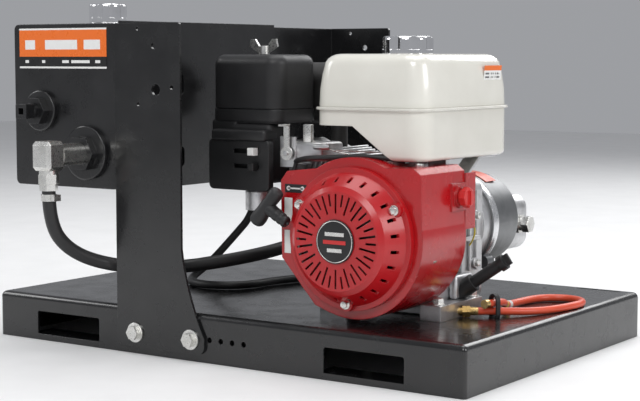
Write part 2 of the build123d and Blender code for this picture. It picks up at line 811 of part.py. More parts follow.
grip_middle = Vector(*at_engine(*grip_centre))
rope_start = Vector(*at_engine(rope_exit[0] - 3, rope_exit[1], rope_exit[2] + 1))
rope_run = (grip_middle - rope_start).normalized()
stem_start = rope_start + rope_run * grip_stem_gap
rope_end = grip_middle - rope_run * grip_radius / 2

with BuildPart() as starter_rope:
    with BuildLine() as rope_line:
        Line(rope_start, rope_end)
    with BuildSketch(Plane(origin=rope_start, z_dir=rope_run)):
        Circle(rope_radius)
    sweep()
save(starter_rope, "starter_rope")

with BuildPart() as starter_grip:
    with Locations(Location(tuple(grip_middle), (0, grip_lean, 0))):
        Cylinder(grip_radius, grip_length)
    fillet(starter_grip.edges().filter_by(GeomType.CIRCLE), radius=grip_end_round)
    with Locations(Plane(origin=stem_start, z_dir=rope_run).location):
        Cone(
            grip_stem_tip,
            grip_stem_radius,
            (grip_middle - stem_start).length,
            align=(Align.CENTER, Align.CENTER, Align.MIN),
        )
    add(starter_rope.part, mode=Mode.SUBTRACT)
save(starter_grip, "starter_grip")

# ---------------------------------------------------------------- fan shroud

shroud_points = (
    (-40.0, 14.0), (-68.0, 24.0), (-130.0, 93.0), (-132.0, 212.0), (-120.0, 227.0), (-40.0, 236.0),
    (106.0, 239.0), (118.0, 230.0), (121.0, 132.0), (0.0, 100.0),
)

with BuildSketch() as shroud_outline:
    with Locations((0, crank_height)):
        Circle(shroud_radius)
    with BuildLine():
        Polyline(*shroud_points, close=True)
    make_face()

with BuildSketch() as shroud_inside:
    add(shroud_outline.sketch)
    offset(amount=-shroud_wall, mode=Mode.REPLACE)

shroud_rear = case_front - wall_gap
shroud_plane = Plane(origin=(crank_x, engine_y + shroud_rear, deck_z), x_dir=(1, 0, 0), z_dir=(0, -1, 0))

switch_x, switch_y, switch_z = at_engine(122, 153, 191)

with BuildPart() as fan_shroud:
    with BuildSketch(shroud_plane):
        add(shroud_outline.sketch)
    extrude(amount=shroud_rear - shroud_front)
    with BuildSketch(shroud_plane):
        add(shroud_inside.sketch)
    extrude(amount=shroud_rear - shroud_front - shroud_wall, mode=Mode.SUBTRACT)
    crank_rod(recoil_base_radius - 4, shroud_front - wall_gap, shroud_front + 2 * shroud_wall, mode=Mode.SUBTRACT)
    engine_block(117, 122, 132, 172, 170, 212)
    engine_block(118, 121, shroud_rear - wall_gap, 205, 140, 226)
    rod_x(switch_y, switch_z, switch_radius + 1, switch_x - 2, switch_x + 4)
save(fan_shroud, "fan_shroud")

with BuildPart() as switch_knob:
    rod_x(switch_y, switch_z, 12, switch_x + 4.2, switch_x + 8)
    with BuildSketch(right_plane(switch_x + 8)):
        with Locations((switch_y, switch_z)):
            RegularPolygon(switch_radius, 8)
    extrude(amount=11)
    chamfer(switch_knob.faces().sort_by(Axis.X)[-1].edges(), length=2)
    block(switch_x + 18, switch_x + 22, switch_y - 3, switch_y + 3, switch_z - 11, switch_z + 11)
save(switch_knob, "switch_knob")

# ---------------------------------------------------------------- fuel tank

tank_middle = at_engine(
    (fuel_tank_left + fuel_tank_right) / 2, (fuel_tank_front + fuel_tank_rear) / 2, fuel_tank_seam)
fuel_width = fuel_tank_right - fuel_tank_left
fuel_depth = fuel_tank_rear - fuel_tank_front

with BuildPart() as fuel_tank_upper:
    with BuildSketch(Plane.XY.offset(tank_middle[2])):
        with Locations((tank_middle[0], tank_middle[1])):
            RectangleRounded(fuel_width, fuel_depth, fuel_tank_corner)
    extrude(amount=fuel_tank_top - fuel_tank_seam)
    fillet(fuel_tank_upper.faces().sort_by(Axis.Z)[-1].edges(), radius=fuel_tank_crown)
    offset(amount=-fuel_tank_sheet, openings=fuel_tank_upper.faces().sort_by(Axis.Z)[0])
    with BuildSketch(Plane.XY.offset(tank_middle[2])):
        with Locations((tank_middle[0], tank_middle[1])):
            RectangleRounded(fuel_width + 2 * fuel_tank_flange, fuel_depth + 2 * fuel_tank_flange,
                             fuel_tank_corner + fuel_tank_flange)
            RectangleRounded(fuel_width - 2, fuel_depth - 2, fuel_tank_corner - 1, mode=Mode.SUBTRACT)
    extrude(amount=2)
    cap_x, cap_y, cap_seat = at_engine(fuel_cap_place[0], fuel_cap_place[1], fuel_tank_top)
    rod_z(cap_x, cap_y, 27, cap_seat - fuel_tank_sheet, cap_seat + 5)
    rod_z(cap_x, cap_y, 24, cap_seat - 8, cap_seat + 6, mode=Mode.SUBTRACT)
save(fuel_tank_upper, "fuel_tank_upper")

with BuildPart() as fuel_tank_lower:
    with BuildSketch(Plane.XY.offset(deck_z + fuel_tank_low_right)):
        with Locations((tank_middle[0], tank_middle[1])):
            RectangleRounded(fuel_width, fuel_depth, fuel_tank_corner)
    extrude(amount=fuel_tank_seam - fuel_tank_low_right)
    cut_margin = 40
    with BuildSketch(front_plane(engine_y + fuel_tank_rear + cut_margin)):
        with BuildLine():
            Polyline(
                (crank_x + fuel_tank_left - cut_margin, deck_z + fuel_tank_low_left),
                (crank_x - 20, deck_z + fuel_tank_low_left),
                (crank_x + 50, deck_z + fuel_tank_low_right),
                (crank_x + fuel_tank_right + cut_margin, deck_z + fuel_tank_low_right),
                (crank_x + fuel_tank_right + cut_margin, deck_z + fuel_tank_low_right - cut_margin),
                (crank_x + fuel_tank_left - cut_margin, deck_z + fuel_tank_low_right - cut_margin),
                close=True,
            )
        make_face()
    extrude(amount=fuel_depth + 2 * cut_margin, mode=Mode.SUBTRACT)
    low_edges = [edge for edge in fuel_tank_lower.faces().sort_by(Axis.Z)[0].edges()]
    fillet(low_edges, radius=8)
    offset(amount=-fuel_tank_sheet, openings=fuel_tank_lower.faces().sort_by(Axis.Z)[-1])
    with BuildSketch(Plane.XY.offset(tank_middle[2])):
        with Locations((tank_middle[0], tank_middle[1])):
            RectangleRounded(fuel_width + 2 * fuel_tank_flange, fuel_depth + 2 * fuel_tank_flange,
                             fuel_tank_corner + fuel_tank_flange)
            RectangleRounded(fuel_width - 2, fuel_depth - 2, fuel_tank_corner - 1, mode=Mode.SUBTRACT)
    extrude(amount=-2)
save(fuel_tank_lower, "fuel_tank_lower")

with BuildPart() as fuel_cap:
    cap_low = cap_seat + 0.4
    rod_z(cap_x, cap_y, fuel_cap_radius, cap_low, cap_low + fuel_cap_height)
    fillet(fuel_cap.faces().sort_by(Axis.Z)[-1].edges(), radius=6)
    for number in range(8):
        angle = math.radians(45 * number)
        rod_z(cap_x + (fuel_cap_radius + 14) * math.cos(angle), cap_y + (fuel_cap_radius + 14) * math.sin(angle),
              18, cap_low + 6, cap_low + fuel_cap_height + 1, mode=Mode.SUBTRACT)
    rod_z(cap_x, cap_y, fuel_cap_radius - 5, cap_low - 1, cap_low + fuel_cap_height - 8, mode=Mode.SUBTRACT)
save(fuel_cap, "fuel_cap")


def tank_arm(x_from, x_to, tank_bottom):
    """A bent steel strip from the crankcase top up to the fuel tank's underside."""
    with BuildPart() as arm:
        with BuildSketch(right_plane(crank_x + x_from)):
            with BuildLine():
                Polyline(
                    (engine_y + 190, deck_z + case_top),
                    (engine_y + 236, deck_z + case_top),
                    (engine_y + 284, deck_z + tank_bottom - 4),
                    (engine_y + 338, deck_z + tank_bottom - 4),
                    (engine_y + 338, deck_z + tank_bottom),
                    (engine_y + 282, deck_z + tank_bottom),
                    (engine_y + 234, deck_z + case_top + 5),
                    (engine_y + 190, deck_z + case_top + 5),
                    close=True,
                )
            make_face()
        extrude(amount=x_to - x_from)
    return arm.part


with BuildPart() as fuel_tank_arms:
    add(tank_arm(60, 86, fuel_tank_low_right))
    add(tank_arm(-44, -22, fuel_tank_low_left))
    engine_block(52, 84, 178, 186, case_top, fuel_tank_low_right)

# ---------------------------------------------------------------- air cleaner, carburettor and controls

cleaner_middle = at_engine((cleaner_left + cleaner_right) / 2, (cleaner_front + cleaner_rear) / 2, cleaner_seam)
cleaner_width = cleaner_right - cleaner_left
cleaner_depth = cleaner_rear - cleaner_front
nut_x, nut_y, nut_z = at_engine(wing_nut_place[0], wing_nut_place[1], cleaner_top)
stud_radius = 3.0

with BuildPart() as air_cleaner_cover:
    with BuildSketch(Plane.XY.offset(cleaner_middle[2])):
        with Locations((cleaner_middle[0], cleaner_middle[1])):
            RectangleRounded(cleaner_width, cleaner_depth, cleaner_corner)
    extrude(amount=cleaner_top - cleaner_seam)
    fillet(air_cleaner_cover.faces().sort_by(Axis.Z)[-1].edges(), radius=16)
    offset(amount=-2.5, openings=air_cleaner_cover.faces().sort_by(Axis.Z)[0])
    rod_z(nut_x, nut_y, stud_radius + 0.4, nut_z - 6, nut_z + 1, mode=Mode.SUBTRACT)
save(air_cleaner_cover, "air_cleaner_cover")

with BuildPart() as air_cleaner_base:
    with BuildSketch(Plane.XY.offset(deck_z + cleaner_base_bottom)):
        with Locations((cleaner_middle[0], cleaner_middle[1])):
            RectangleRounded(cleaner_width - 6, cleaner_depth - 6, cleaner_corner - 3)
    extrude(amount=cleaner_seam - cleaner_base_bottom)
    engine_block(cleaner_left + 12, cleaner_left + 58, cleaner_front + 12, cleaner_rear - 20, 274, 297)
    with BuildSketch(Plane.XY.offset(deck_z + cleaner_base_bottom + 4)):
        with Locations((cleaner_middle[0], cleaner_middle[1])):
            RectangleRounded(cleaner_width - 14, cleaner_depth - 14, cleaner_corner - 7)
    extrude(amount=cleaner_seam, mode=Mode.SUBTRACT)
    rod_z(nut_x, nut_y, stud_radius, deck_z + cleaner_base_bottom, nut_z + 16)
save(air_cleaner_base, "air_cleaner_base")

with BuildPart() as air_filter_element:
    rod_z(nut_x, nut_y, 44, deck_z + cleaner_base_bottom + 4, nut_z - 14)
    rod_z(nut_x, nut_y, 26, deck_z + cleaner_base_bottom + 3, nut_z - 13, mode=Mode.SUBTRACT)
save(air_filter_element, "air_filter_element")

wing_half = [
    (wing_hub_radius, wing_hub_height),
    (wing_reach * 0.6, wing_rise),
    (wing_reach * 0.9, wing_rise),
    (wing_reach, wing_foot),
    (wing_hub_radius, running_gap + 2),
]

with BuildPart() as wing_nut:
    rod_z(nut_x, nut_y, wing_hub_radius, nut_z + 0.4, nut_z + wing_hub_height)
    with BuildSketch(Plane(origin=(nut_x, nut_y, nut_z), x_dir=(1, 0, 0), z_dir=(0, -1, 0))):
        for side in (-1, 1):
            with BuildLine():
                Polyline(*[(side * along, rise) for along, rise in [(0, 3), (0, 13)] + wing_half], close=True)
            make_face()
    extrude(amount=wing_thick / 2, both=True)
    rod_z(nut_x, nut_y, stud_radius + running_gap, nut_z, nut_z + 30, mode=Mode.SUBTRACT)
save(wing_nut, "wing_nut")

carb_x, carb_y, carb_z = at_engine(-226, 118, 222)

with BuildPart() as carburetor:
    rod_y(carb_x, carb_z, 24, carb_y - 20, carb_y + 30)
    rod_z(carb_x, carb_y - 2, 22, carb_z - 66, carb_z - 36)
    rod_z(carb_x, carb_y - 2, 15, carb_z - 37, carb_z)
    rod_z(carb_x, carb_y - 2, 6, carb_z - 72, carb_z - 65)
    rod_z(carb_x, carb_y + 8, 20, carb_z, deck_z + cleaner_base_bottom)
    rod_y(carb_x, carb_z, 14, carb_y - 21, carb_y + 10, mode=Mode.SUBTRACT)
    block(carb_x - 20, carb_x + 26, carb_y + 30, carb_y + 44, carb_z - 22, carb_z + 22)
    block(carb_x - 8, carb_x + 26, carb_y + 44, carb_y + 62, carb_z - 14, carb_z + 14)
    add(cylinder_head.part, mode=Mode.SUBTRACT)
    add(rocker_cover.part, mode=Mode.SUBTRACT)
save(carburetor, "carburetor")

slot_right = -200.0
slot_left = slot_right - lever_travel - lever_grip - lever_play
choke_slot = (slot_left, slot_right, 252.0)
fuel_slot = (slot_left, slot_right, 228.0)
slot_height = 7.0

with BuildPart() as control_cover:
    engine_block(control_left, control_right, control_front, control_front + control_depth,
                 control_bottom, control_top)
    fillet(control_cover.edges().filter_by(Axis.Y), radius=9)
    fillet(control_cover.faces().sort_by(Axis.Y)[0].edges(), radius=2.5)
    engine_block(control_left + 4, control_right - 4, control_front + 3, control_front + control_depth + 1,
                 control_bottom + 4, control_top - 4, mode=Mode.SUBTRACT)
    for slot_from, slot_to, slot_z in (choke_slot, fuel_slot):
        engine_block(slot_from, slot_to, control_front - 1, control_front + 5,
                     slot_z - slot_height / 2, slot_z + slot_height / 2, mode=Mode.SUBTRACT)
save(control_cover, "control_cover")


def slide_lever(slot_to, slot_z):
    """A lever that slides along its slot, drawn at the slot's right end."""
    with BuildPart() as lever:
        engine_block(slot_to - 9, slot_to - 5, control_front - 10, control_front + 10, slot_z - 2.5, slot_z + 2.5)
        engine_block(slot_to - 13, slot_to - 1, control_front - 14, control_front - 1, slot_z - 6, slot_z + 6)
        fillet(lever.faces().sort_by(Axis.Y)[0].edges(), radius=2)
    return lever


choke_lever = slide_lever(choke_slot[1], choke_slot[2])
save(choke_lever, "choke_lever")
fuel_valve_lever = slide_lever(fuel_slot[1], fuel_slot[2])
save(fuel_valve_lever, "fuel_valve_lever")

pivot_x, pivot_y, pivot_z = at_engine(-158, 96, 250)
pivot_radius = 4.0

with BuildPart() as engine_brackets:
    add(fuel_tank_arms.part)
    block(pivot_x - 16, pivot_x + 14, pivot_y + 6, pivot_y + 9, pivot_z - 22, pivot_z + 26)
    rod_y(pivot_x, pivot_z, pivot_radius, pivot_y - 3, pivot_y + 7)
    rod_y(pivot_x, pivot_z, pivot_radius + 3, pivot_y + 3.4, pivot_y + 7)
    block(pivot_x - 16, pivot_x - 10, pivot_y + 8, pivot_y + 84, pivot_z - 22, pivot_z - 19)
    block(pivot_x - 16, pivot_x + 14, pivot_y + 8, pivot_y + 12, pivot_z - 22, pivot_z - 12)
save(engine_brackets, "engine_brackets")

with BuildPart() as throttle_lever:
    rod_y(pivot_x, pivot_z, 11, pivot_y, pivot_y + 3)
    block(pivot_x - 5, pivot_x + 5, pivot_y, pivot_y + 3, pivot_z, pivot_z + 46)
    block(pivot_x - 5, pivot_x + 5, pivot_y - 14, pivot_y + 3, pivot_z + 43, pivot_z + 46)
    rod_y(pivot_x, pivot_z, pivot_radius + running_gap, pivot_y - 1, pivot_y + 4, mode=Mode.SUBTRACT)
save(throttle_lever, "throttle_lever")

# ---------------------------------------------------------------- muffler

with BuildPart() as muffler:
    engine_block(-300, -140, 216, 330, 292, 392)
    fillet(muffler.edges().filter_by(Axis.X), radius=34)
    fillet(muffler.faces().sort_by(Axis.X)[0].edges(), radius=10)
    fillet(muffler.faces().sort_by(Axis.X)[-1].edges(), radius=10)
    rod_x(engine_y + 300, deck_z + 350, 12, crank_x - 328, crank_x - 298)
    rod_z(crank_x - 160, engine_y + 250, 14, deck_z + 240, deck_z + 294)
    add(cylinder_head.part, mode=Mode.SUBTRACT)
    add(rocker_cover.part, mode=Mode.SUBTRACT)
    rod_x(engine_y + 300, deck_z + 350, 9.5, crank_x - 329, crank_x - 290, mode=Mode.SUBTRACT)
save(muffler, "muffler")

# ---------------------------------------------------------------- oil filler and drain

fill_low = Vector(*at_engine(98, 230, 46))
fill_high = Vector(*at_engine(147, 238, 81))
fill_way = (fill_high - fill_low).normalized()
fill_plane = Plane(origin=fill_low, z_dir=fill_way)
fill_length = (fill_high - fill_low).length

with BuildPart() as oil_filler_tube:
    with Locations(Location(fill_plane)):
        with Locations((0, 0, fill_length / 2)):
            Cylinder(9.5, fill_length)
        with Locations((0, 0, -8)):
            Cylinder(14, 34)
        with Locations((0, 0, fill_length / 2 + 8)):
            Cylinder(7, fill_length, mode=Mode.SUBTRACT)
    engine_block(20, case_half_width, 180, 290, 0, 120, mode=Mode.SUBTRACT)
    engine_block(20, foot_right + 1, 180, 290, 0, foot_height + 1, mode=Mode.SUBTRACT)
save(oil_filler_tube, "oil_filler_tube")

with BuildPart(fill_plane) as oil_filler_cap:
    with Locations((0, 0, fill_length + 0.3 + 5)):
        Cylinder(12.5, 10)
    with Locations((0, 0, fill_length + 14)):
        Box(18, 5, 10)
    with Locations((0, 0, fill_length - 5)):
        Cylinder(7 - running_gap, 11)
save(oil_filler_cap, "oil_filler_cap")

drain_low = Vector(*at_engine(drain_start[0], drain_start[1], drain_z))
drain_high = Vector(*at_engine(drain_end[0], drain_end[1], drain_z))
drain_way = (drain_high - drain_low).normalized()
drain_plane = Plane(origin=drain_low, z_dir=drain_way)
drain_length = (drain_high - drain_low).length

with BuildPart() as drain_fitting:
    with Locations(Location(drain_plane)):
        with Locations((0, 0, 9)):
            Cylinder(6, 26)
        with Locations((0, 0, drain_length / 2 + 4)):
            Cylinder(6.5, drain_length - 8)
    with BuildSketch(drain_plane.offset(8)):
        RegularPolygon(8.5, 6, major_radius=False)
    extrude(amount=12)
    with Locations(Location(drain_plane)):
        with Locations((0, 0, drain_length / 2)):
            Cylinder(2.5, 3 * drain_length, mode=Mode.SUBTRACT)
    engine_block(60, foot_right, 137, 270, 0, 24, mode=Mode.SUBTRACT)
save(drain_fitting, "drain_fitting")

# ---------------------------------------------------------------- bell housing, coupling and pump

with BuildPart() as bell_housing:
    with BuildSketch(Plane(origin=(crank_x, engine_y, crank_z), x_dir=(1, 0, 0), z_dir=(0, 0, 1))):
        with BuildLine():
            Polyline(
                (0, pto_face + bell_length - bell_wall),
                (bell_end_radius - bell_wall, pto_face + bell_length - bell_wall),
                (bell_rim_radius - bell_wall, pto_face),
                (bell_rim_radius, pto_face),
                (bell_rim_radius, pto_face + bell_rim_length),
                (bell_rim_radius - 1.5, pto_face + bell_rim_length),
                (bell_end_radius, pto_face + bell_length - 4),
                (bell_end_radius - 4, pto_face + bell_length),
                (0, pto_face + bell_length),
                close=True,
            )
        make_face()
    revolve(axis=Axis((crank_x, engine_y, crank_z), (0, 1, 0)))
    ear_x = crank_x + 62
    ear_z = crank_z - 62
    rod_y(ear_x, ear_z, 11, engine_y + pto_face, engine_y + pto_face + bell_rim_length)
    crank_rod(24, pto_face + bell_length - 2 * bell_wall, pto_face + bell_length + wall_gap, mode=Mode.SUBTRACT)
save(bell_housing, "bell_housing")


def jaw_hub(y_from, y_to, y_jaw, bore, turn):
    """One half of the jaw coupling on the crank axis, with three jaws that reach to y_jaw."""
    with BuildPart() as hub:
        crank_rod(coupling_radius, y_from, y_to)
        jaw_low, jaw_high = sorted((y_from if y_jaw < y_from else y_to, y_jaw))
        for number in range(3):
            place = Location(
                (crank_x, engine_y + (jaw_low + jaw_high) / 2, crank_z), (0, 120 * number + turn, 0))
            with Locations(place):
                with Locations((coupling_radius - 10, 0, 0)):
                    Box(16, jaw_high - jaw_low, 18)
        crank_rod(bore, y_from - 40, y_to + 40, mode=Mode.SUBTRACT)
    return hub.part


with BuildPart() as coupling_halves:
    add(jaw_hub(pto_face + 12, pto_face + 42, pto_face + 56, pto_shaft_radius, 0))
    add(jaw_hub(pto_face + 58, pto_face + 86, pto_face + 44, 9.0, 60))
save(coupling_halves, "coupling_halves")

gear_front = pump_y + 22
gear_tip = gear_module * (gear_teeth + 1.6) / 2
gear_root = gear_module * (gear_teeth - 2.5) / 2
driven_z = crank_z - gear_centres
gear_axes = (crank_z, driven_z)


def gear(z, turn):
    """A pump gear with slim straight-sided teeth."""
    with BuildPart() as made:
        rod_y(crank_x, z, gear_root, gear_front, gear_front + gear_width)
        for number in range(gear_teeth):
            angle = 360 / gear_teeth * number + turn
            with BuildSketch(Plane(origin=(crank_x, gear_front + gear_width, z), x_dir=(1, 0, 0),
                                   z_dir=(0, -1, 0)).rotated((0, angle, 0))):
                with BuildLine():
                    Polyline((gear_root - 1, -2.2), (gear_tip, -0.9), (gear_tip, 0.9), (gear_root - 1, 2.2),
                             close=True)
                make_face()
            extrude(amount=gear_width)
    return made.part


with BuildPart() as pump_drive_gear:
    add(gear(crank_z, 90))
    rod_y(crank_x, crank_z, 9, engine_y + pto_face + 59, gear_front + gear_width + 14)
save(pump_drive_gear, "pump_drive_gear")

with BuildPart() as pump_driven_gear:
    add(gear(driven_z, 90 + 180 / gear_teeth))
    rod_y(crank_x, driven_z, 7, gear_front - 12, gear_front + gear_width + 14)
save(pump_driven_gear, "pump_driven_gear")

cover_y = gear_front + gear_width + 0.1
pump_end = pump_y + pump_length

with BuildPart() as pump_body:
    with BuildSketch(front_plane(cover_y)):
        with Locations((crank_x, pump_centre_z)):
            RectangleRounded(pump_width, pump_height, pump_corner)
    extrude(amount=cover_y - pump_y - 6)
    with BuildSketch(front_plane(pump_y + 16)):
        with Locations((crank_x, pump_centre_z)):
            RectangleRounded(pump_width + 22, pump_height - 16, 14)
    extrude(amount=16)
    for z in gear_axes:
        rod_y(crank_x, z, gear_tip + running_gap, gear_front - 0.1, cover_y + wall_gap, mode=Mode.SUBTRACT)
    rod_y(crank_x, crank_z, 9 + running_gap, pump_y - wall_gap, cover_y, mode=Mode.SUBTRACT)
    rod_y(crank_x, driven_z, 7 + running_gap, gear_front - 13, cover_y, mode=Mode.SUBTRACT)
    rod_y(crank_x, crank_z, 12, pump_y - wall_gap, pump_y + 6, mode=Mode.SUBTRACT)
save(pump_body, "pump_body")

with BuildPart() as pump_cover:
    with BuildSketch(front_plane(pump_end)):
        with Locations((crank_x, pump_centre_z)):
            RectangleRounded(pump_width, pump_height, pump_corner)
    extrude(amount=pump_end - cover_y)
    fillet(pump_cover.faces().sort_by(Axis.Y)[-1].edges(), radius=3)
    rod_y(crank_x, crank_z, 9 + running_gap, cover_y - 1, cover_y + 15, mode=Mode.SUBTRACT)
    rod_y(crank_x, driven_z, 7 + running_gap, cover_y - 1, cover_y + 15, mode=Mode.SUBTRACT)
save(pump_cover, "pump_cover")

pump_left = crank_x - pump_width / 2
pump_right = crank_x + pump_width / 2
suction_y = pump_y + 40
suction_z = pump_centre_z
return_y = pump_y + 78
return_z = pump_centre_z - 24
suction_hose_end = pump_left - 30
return_hose_end = pump_left - 24


def side_hex(x_from, x_to, y, z, flats):
    """A hex fitting along X."""
    with BuildPart() as made:
        with BuildSketch(right_plane(x_from)):
            with Locations((y, z)):
                RegularPolygon(flats / 2, 6, major_radius=False)
        extrude(amount=x_to - x_from)
    return made.part


with BuildPart() as pump_fittings:
    add(side_hex(pump_left - 16, pump_left, suction_y, suction_z, 27))
    rod_x(suction_y, suction_z, hose_bore_radius - 1, suction_hose_end, pump_left - 16)
    add(side_hex(pump_left - 12, pump_left, return_y, return_z, 17))
    rod_x(return_y, return_z, return_hose_diameter / 2 - 3, return_hose_end, pump_left - 12)

with BuildPart() as pressure_fitting:
    add(side_hex(pump_right, pump_right + 12, suction_y + 8, suction_z, 30))
    rod_x(suction_y + 8, suction_z, 12, pump_right + 12, pump_right + 18)
    add(side_hex(pump_right + 18, pump_right + 30, suction_y + 8, suction_z, 26))
    fillet(pressure_fitting.faces().sort_by(Axis.X)[-1].edges(), radius=1)
save(pressure_fitting, "pressure_fitting")

# ---------------------------------------------------------------- hoses

outlet_end_z = tank_floor_gap - 24

with BuildPart() as return_outlet:
    rod_z(outlet_x, outlet_y, outlet_radius, tank_floor_gap - 8, tank_floor_gap)
    with BuildSketch(Plane.XY.offset(tank_floor_gap - 18)):
        with Locations((outlet_x, outlet_y)):
            RegularPolygon(9.5, 6, major_radius=False)
    extrude(amount=10)
    rod_z(outlet_x, outlet_y, 7.5, outlet_end_z, tank_floor_gap - 18)
    rod_z(outlet_x, outlet_y, 3.5, outlet_end_z - 1, tank_floor_gap + 1, mode=Mode.SUBTRACT)

with BuildPart() as hose_fittings:
    add(pump_fittings.part)
    add(return_outlet.part)
save(hose_fittings, "hose_fittings")

deck_hose = deck_z + 0.2
return_rest = deck_hose + return_hose_diameter / 2
drain_rest = deck_hose + drain_hose_diameter / 2

suction_route = [
    (suction_port_x, elbow_y, hose_start_z),
    (suction_port_x, elbow_y, 212),
    (-239, behind_front(-58), 166),
    (-212, behind_front(5), 138),
    (-150, behind_front(85), 128),
    (-70, behind_front(165), 141),
    (-35, behind_front(275), 155),
    (-45, behind_front(385), 172),
    (suction_hose_end - 130, suction_y, suction_z),
    (suction_hose_end, suction_y, suction_z),
]
return_route = [
    (outlet_x, outlet_y, outlet_end_z),
    (outlet_x, outlet_y, 195),
    (-228, behind_front(358), 148),
    (-244, behind_front(312), 106),
    (-247, behind_front(258), return_rest),
    (-207, behind_front(218), return_rest),
    (-149, behind_front(218), return_rest),
    (-112, behind_front(258), return_rest),
    (-106, behind_front(335), return_rest),
    (-62, behind_front(425), return_rest),
    (20, behind_front(490), return_rest + 9),
    (return_hose_end - 64, return_y, return_z),
    (return_hose_end, return_y, return_z),
]
drain_route = [
    tuple(drain_high),
    tuple(drain_high + 33 * drain_way),
    (421, behind_front(288), drain_rest),
    (443, behind_front(350), drain_rest),
    (447, behind_front(420), drain_rest),
    (405, behind_front(443), drain_rest),
    (363, behind_front(420), drain_rest),
    (355, behind_front(355), drain_rest),
    (360, behind_front(303), drain_rest + 2),
    (379, behind_front(262), 98.6),
    (372, behind_front(222), 98.6),
]


def arc_radii(points):
    """The bend radius at each inner corner of a hose's route."""
    radii = []
    for before, corner, after in zip(points, points[1:], points[2:]):
        incoming = Vector(*corner) - Vector(*before)
        outgoing = Vector(*after) - Vector(*corner)
        turn = math.radians(incoming.get_angle(outgoing))
        radii.append(hose_arc_share * min(incoming.length, outgoing.length) / math.tan(turn / 2))
    return radii


def hose(points, diameter, wall, name):
    """A hose of straight runs joined by tangent arcs, reported with its radii and its volume."""
    radii = arc_radii(points)
    with BuildPart() as made:
        with BuildLine() as route:
            FilletPolyline(*points, radius=radii)
        with BuildSketch(Plane(origin=route.line @ 0, z_dir=route.line % 0)):
            Circle(diameter / 2)
            Circle(diameter / 2 - wall, mode=Mode.SUBTRACT)
        sweep()
    inner = diameter - 2 * wall
    run = sum(edge.length for edge in route.edges())
    ideal = math.pi / 4 * (diameter ** 2 - inner ** 2) * run
    print(name, "length", round(run, 1), "radii", [round(radius) for radius in radii],
          "volume share", round(made.part.volume / ideal, 4))
    return made


suction_hose = hose(suction_route, suction_hose_diameter, 3.5, "suction_hose")
save(suction_hose, "suction_hose")
return_hose = hose(return_route, return_hose_diameter, 3.0, "return_hose")
save(return_hose, "return_hose")
drain_hose = hose(drain_route, drain_hose_diameter, 2.5, "drain_hose")
save(drain_hose, "drain_hose")


def band_clamp(place, direction, hose_diameter, screw_side):
    """A worm-drive band around a hose end, with its screw housing."""
    with BuildPart(Plane(origin=place, x_dir=screw_side, z_dir=direction)) as clamp:
        Cylinder(hose_diameter / 2 + 1.4, 11)
        with Locations((hose_diameter / 2 + 4, 0, 0)):
            Box(8, 15, 10)
        Cylinder(hose_diameter / 2 + 0.05, 20, mode=Mode.SUBTRACT)
    return clamp.part


with BuildPart() as hose_clamps:
    add(band_clamp((suction_port_x, elbow_y, hose_start_z - 11), (0, 0, 1), suction_hose_diameter, (1, 0, 0)))
    add(band_clamp((suction_hose_end - 12, suction_y, suction_z), (1, 0, 0), suction_hose_diameter, (0, 0, 1)))
    add(band_clamp((outlet_x, outlet_y, outlet_end_z - 9), (0, 0, 1), return_hose_diameter, (0, -1, 0)))
    add(band_clamp((return_hose_end - 10, return_y, return_z), (1, 0, 0), return_hose_diameter, (0, 0, -1)))
save(hose_clamps, "hose_clamps")

cap_end = Vector(*drain_route[-1])
cap_way = (cap_end - Vector(*drain_route[-2])).normalized()
cap_plane = Plane(origin=cap_end, z_dir=cap_way)

with BuildPart(cap_plane) as drain_hose_cap:
    with Locations((0, 0, 4)):
        Cylinder(drain_hose_diameter / 2 + 1, 8)
save(drain_hose_cap, "drain_hose_cap")

clip_x = 375.5
clip_y = behind_front(238)
clip_z = deck_z + 15.0
clip_turn = 60.0

with BuildPart() as hose_clip:
    with BuildSketch(Plane(origin=(clip_x, clip_y, clip_z + 0.5),
                           x_dir=(math.sin(math.radians(clip_turn)), -math.cos(math.radians(clip_turn)), 0),
                           z_dir=(math.cos(math.radians(clip_turn)), math.sin(math.radians(clip_turn)), 0))):
        SlotOverall(42, 24, rotation=90)
        SlotOverall(36, 18, rotation=90, mode=Mode.SUBTRACT)
    extrude(amount=3.5, both=True)
    rod_z(clip_x, clip_y, 7, deck_z, deck_z + 2)
    block(clip_x - 40, clip_x + 40, clip_y - 40, clip_y + 40, deck_z - 20, deck_z, mode=Mode.SUBTRACT)
save(hose_clip, "hose_clip")

# ---------------------------------------------------------------- engine fasteners

with BuildPart() as engine_bolts:
    for bolt_x, bolt_y in deck_bolt_places:
        foot_top = deck_z + foot_height
        rod_z(bolt_x, bolt_y, foot_bolt_radius, deck_z - skid_sheet - 14, foot_top + 2)
        rod_z(bolt_x, bolt_y, 11, foot_top, foot_top + 2)
        for start, height in ((foot_top + 2, 8), (deck_z - skid_sheet - 8, 8)):
            with BuildSketch(Plane.XY.offset(start)):
                with Locations((bolt_x, bolt_y)):
                    RegularPolygon(8, 6, major_radius=False)
            extrude(amount=height)
save(engine_bolts, "engine_bolts")
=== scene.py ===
import math

import bpy
from mathutils import Matrix, Vector


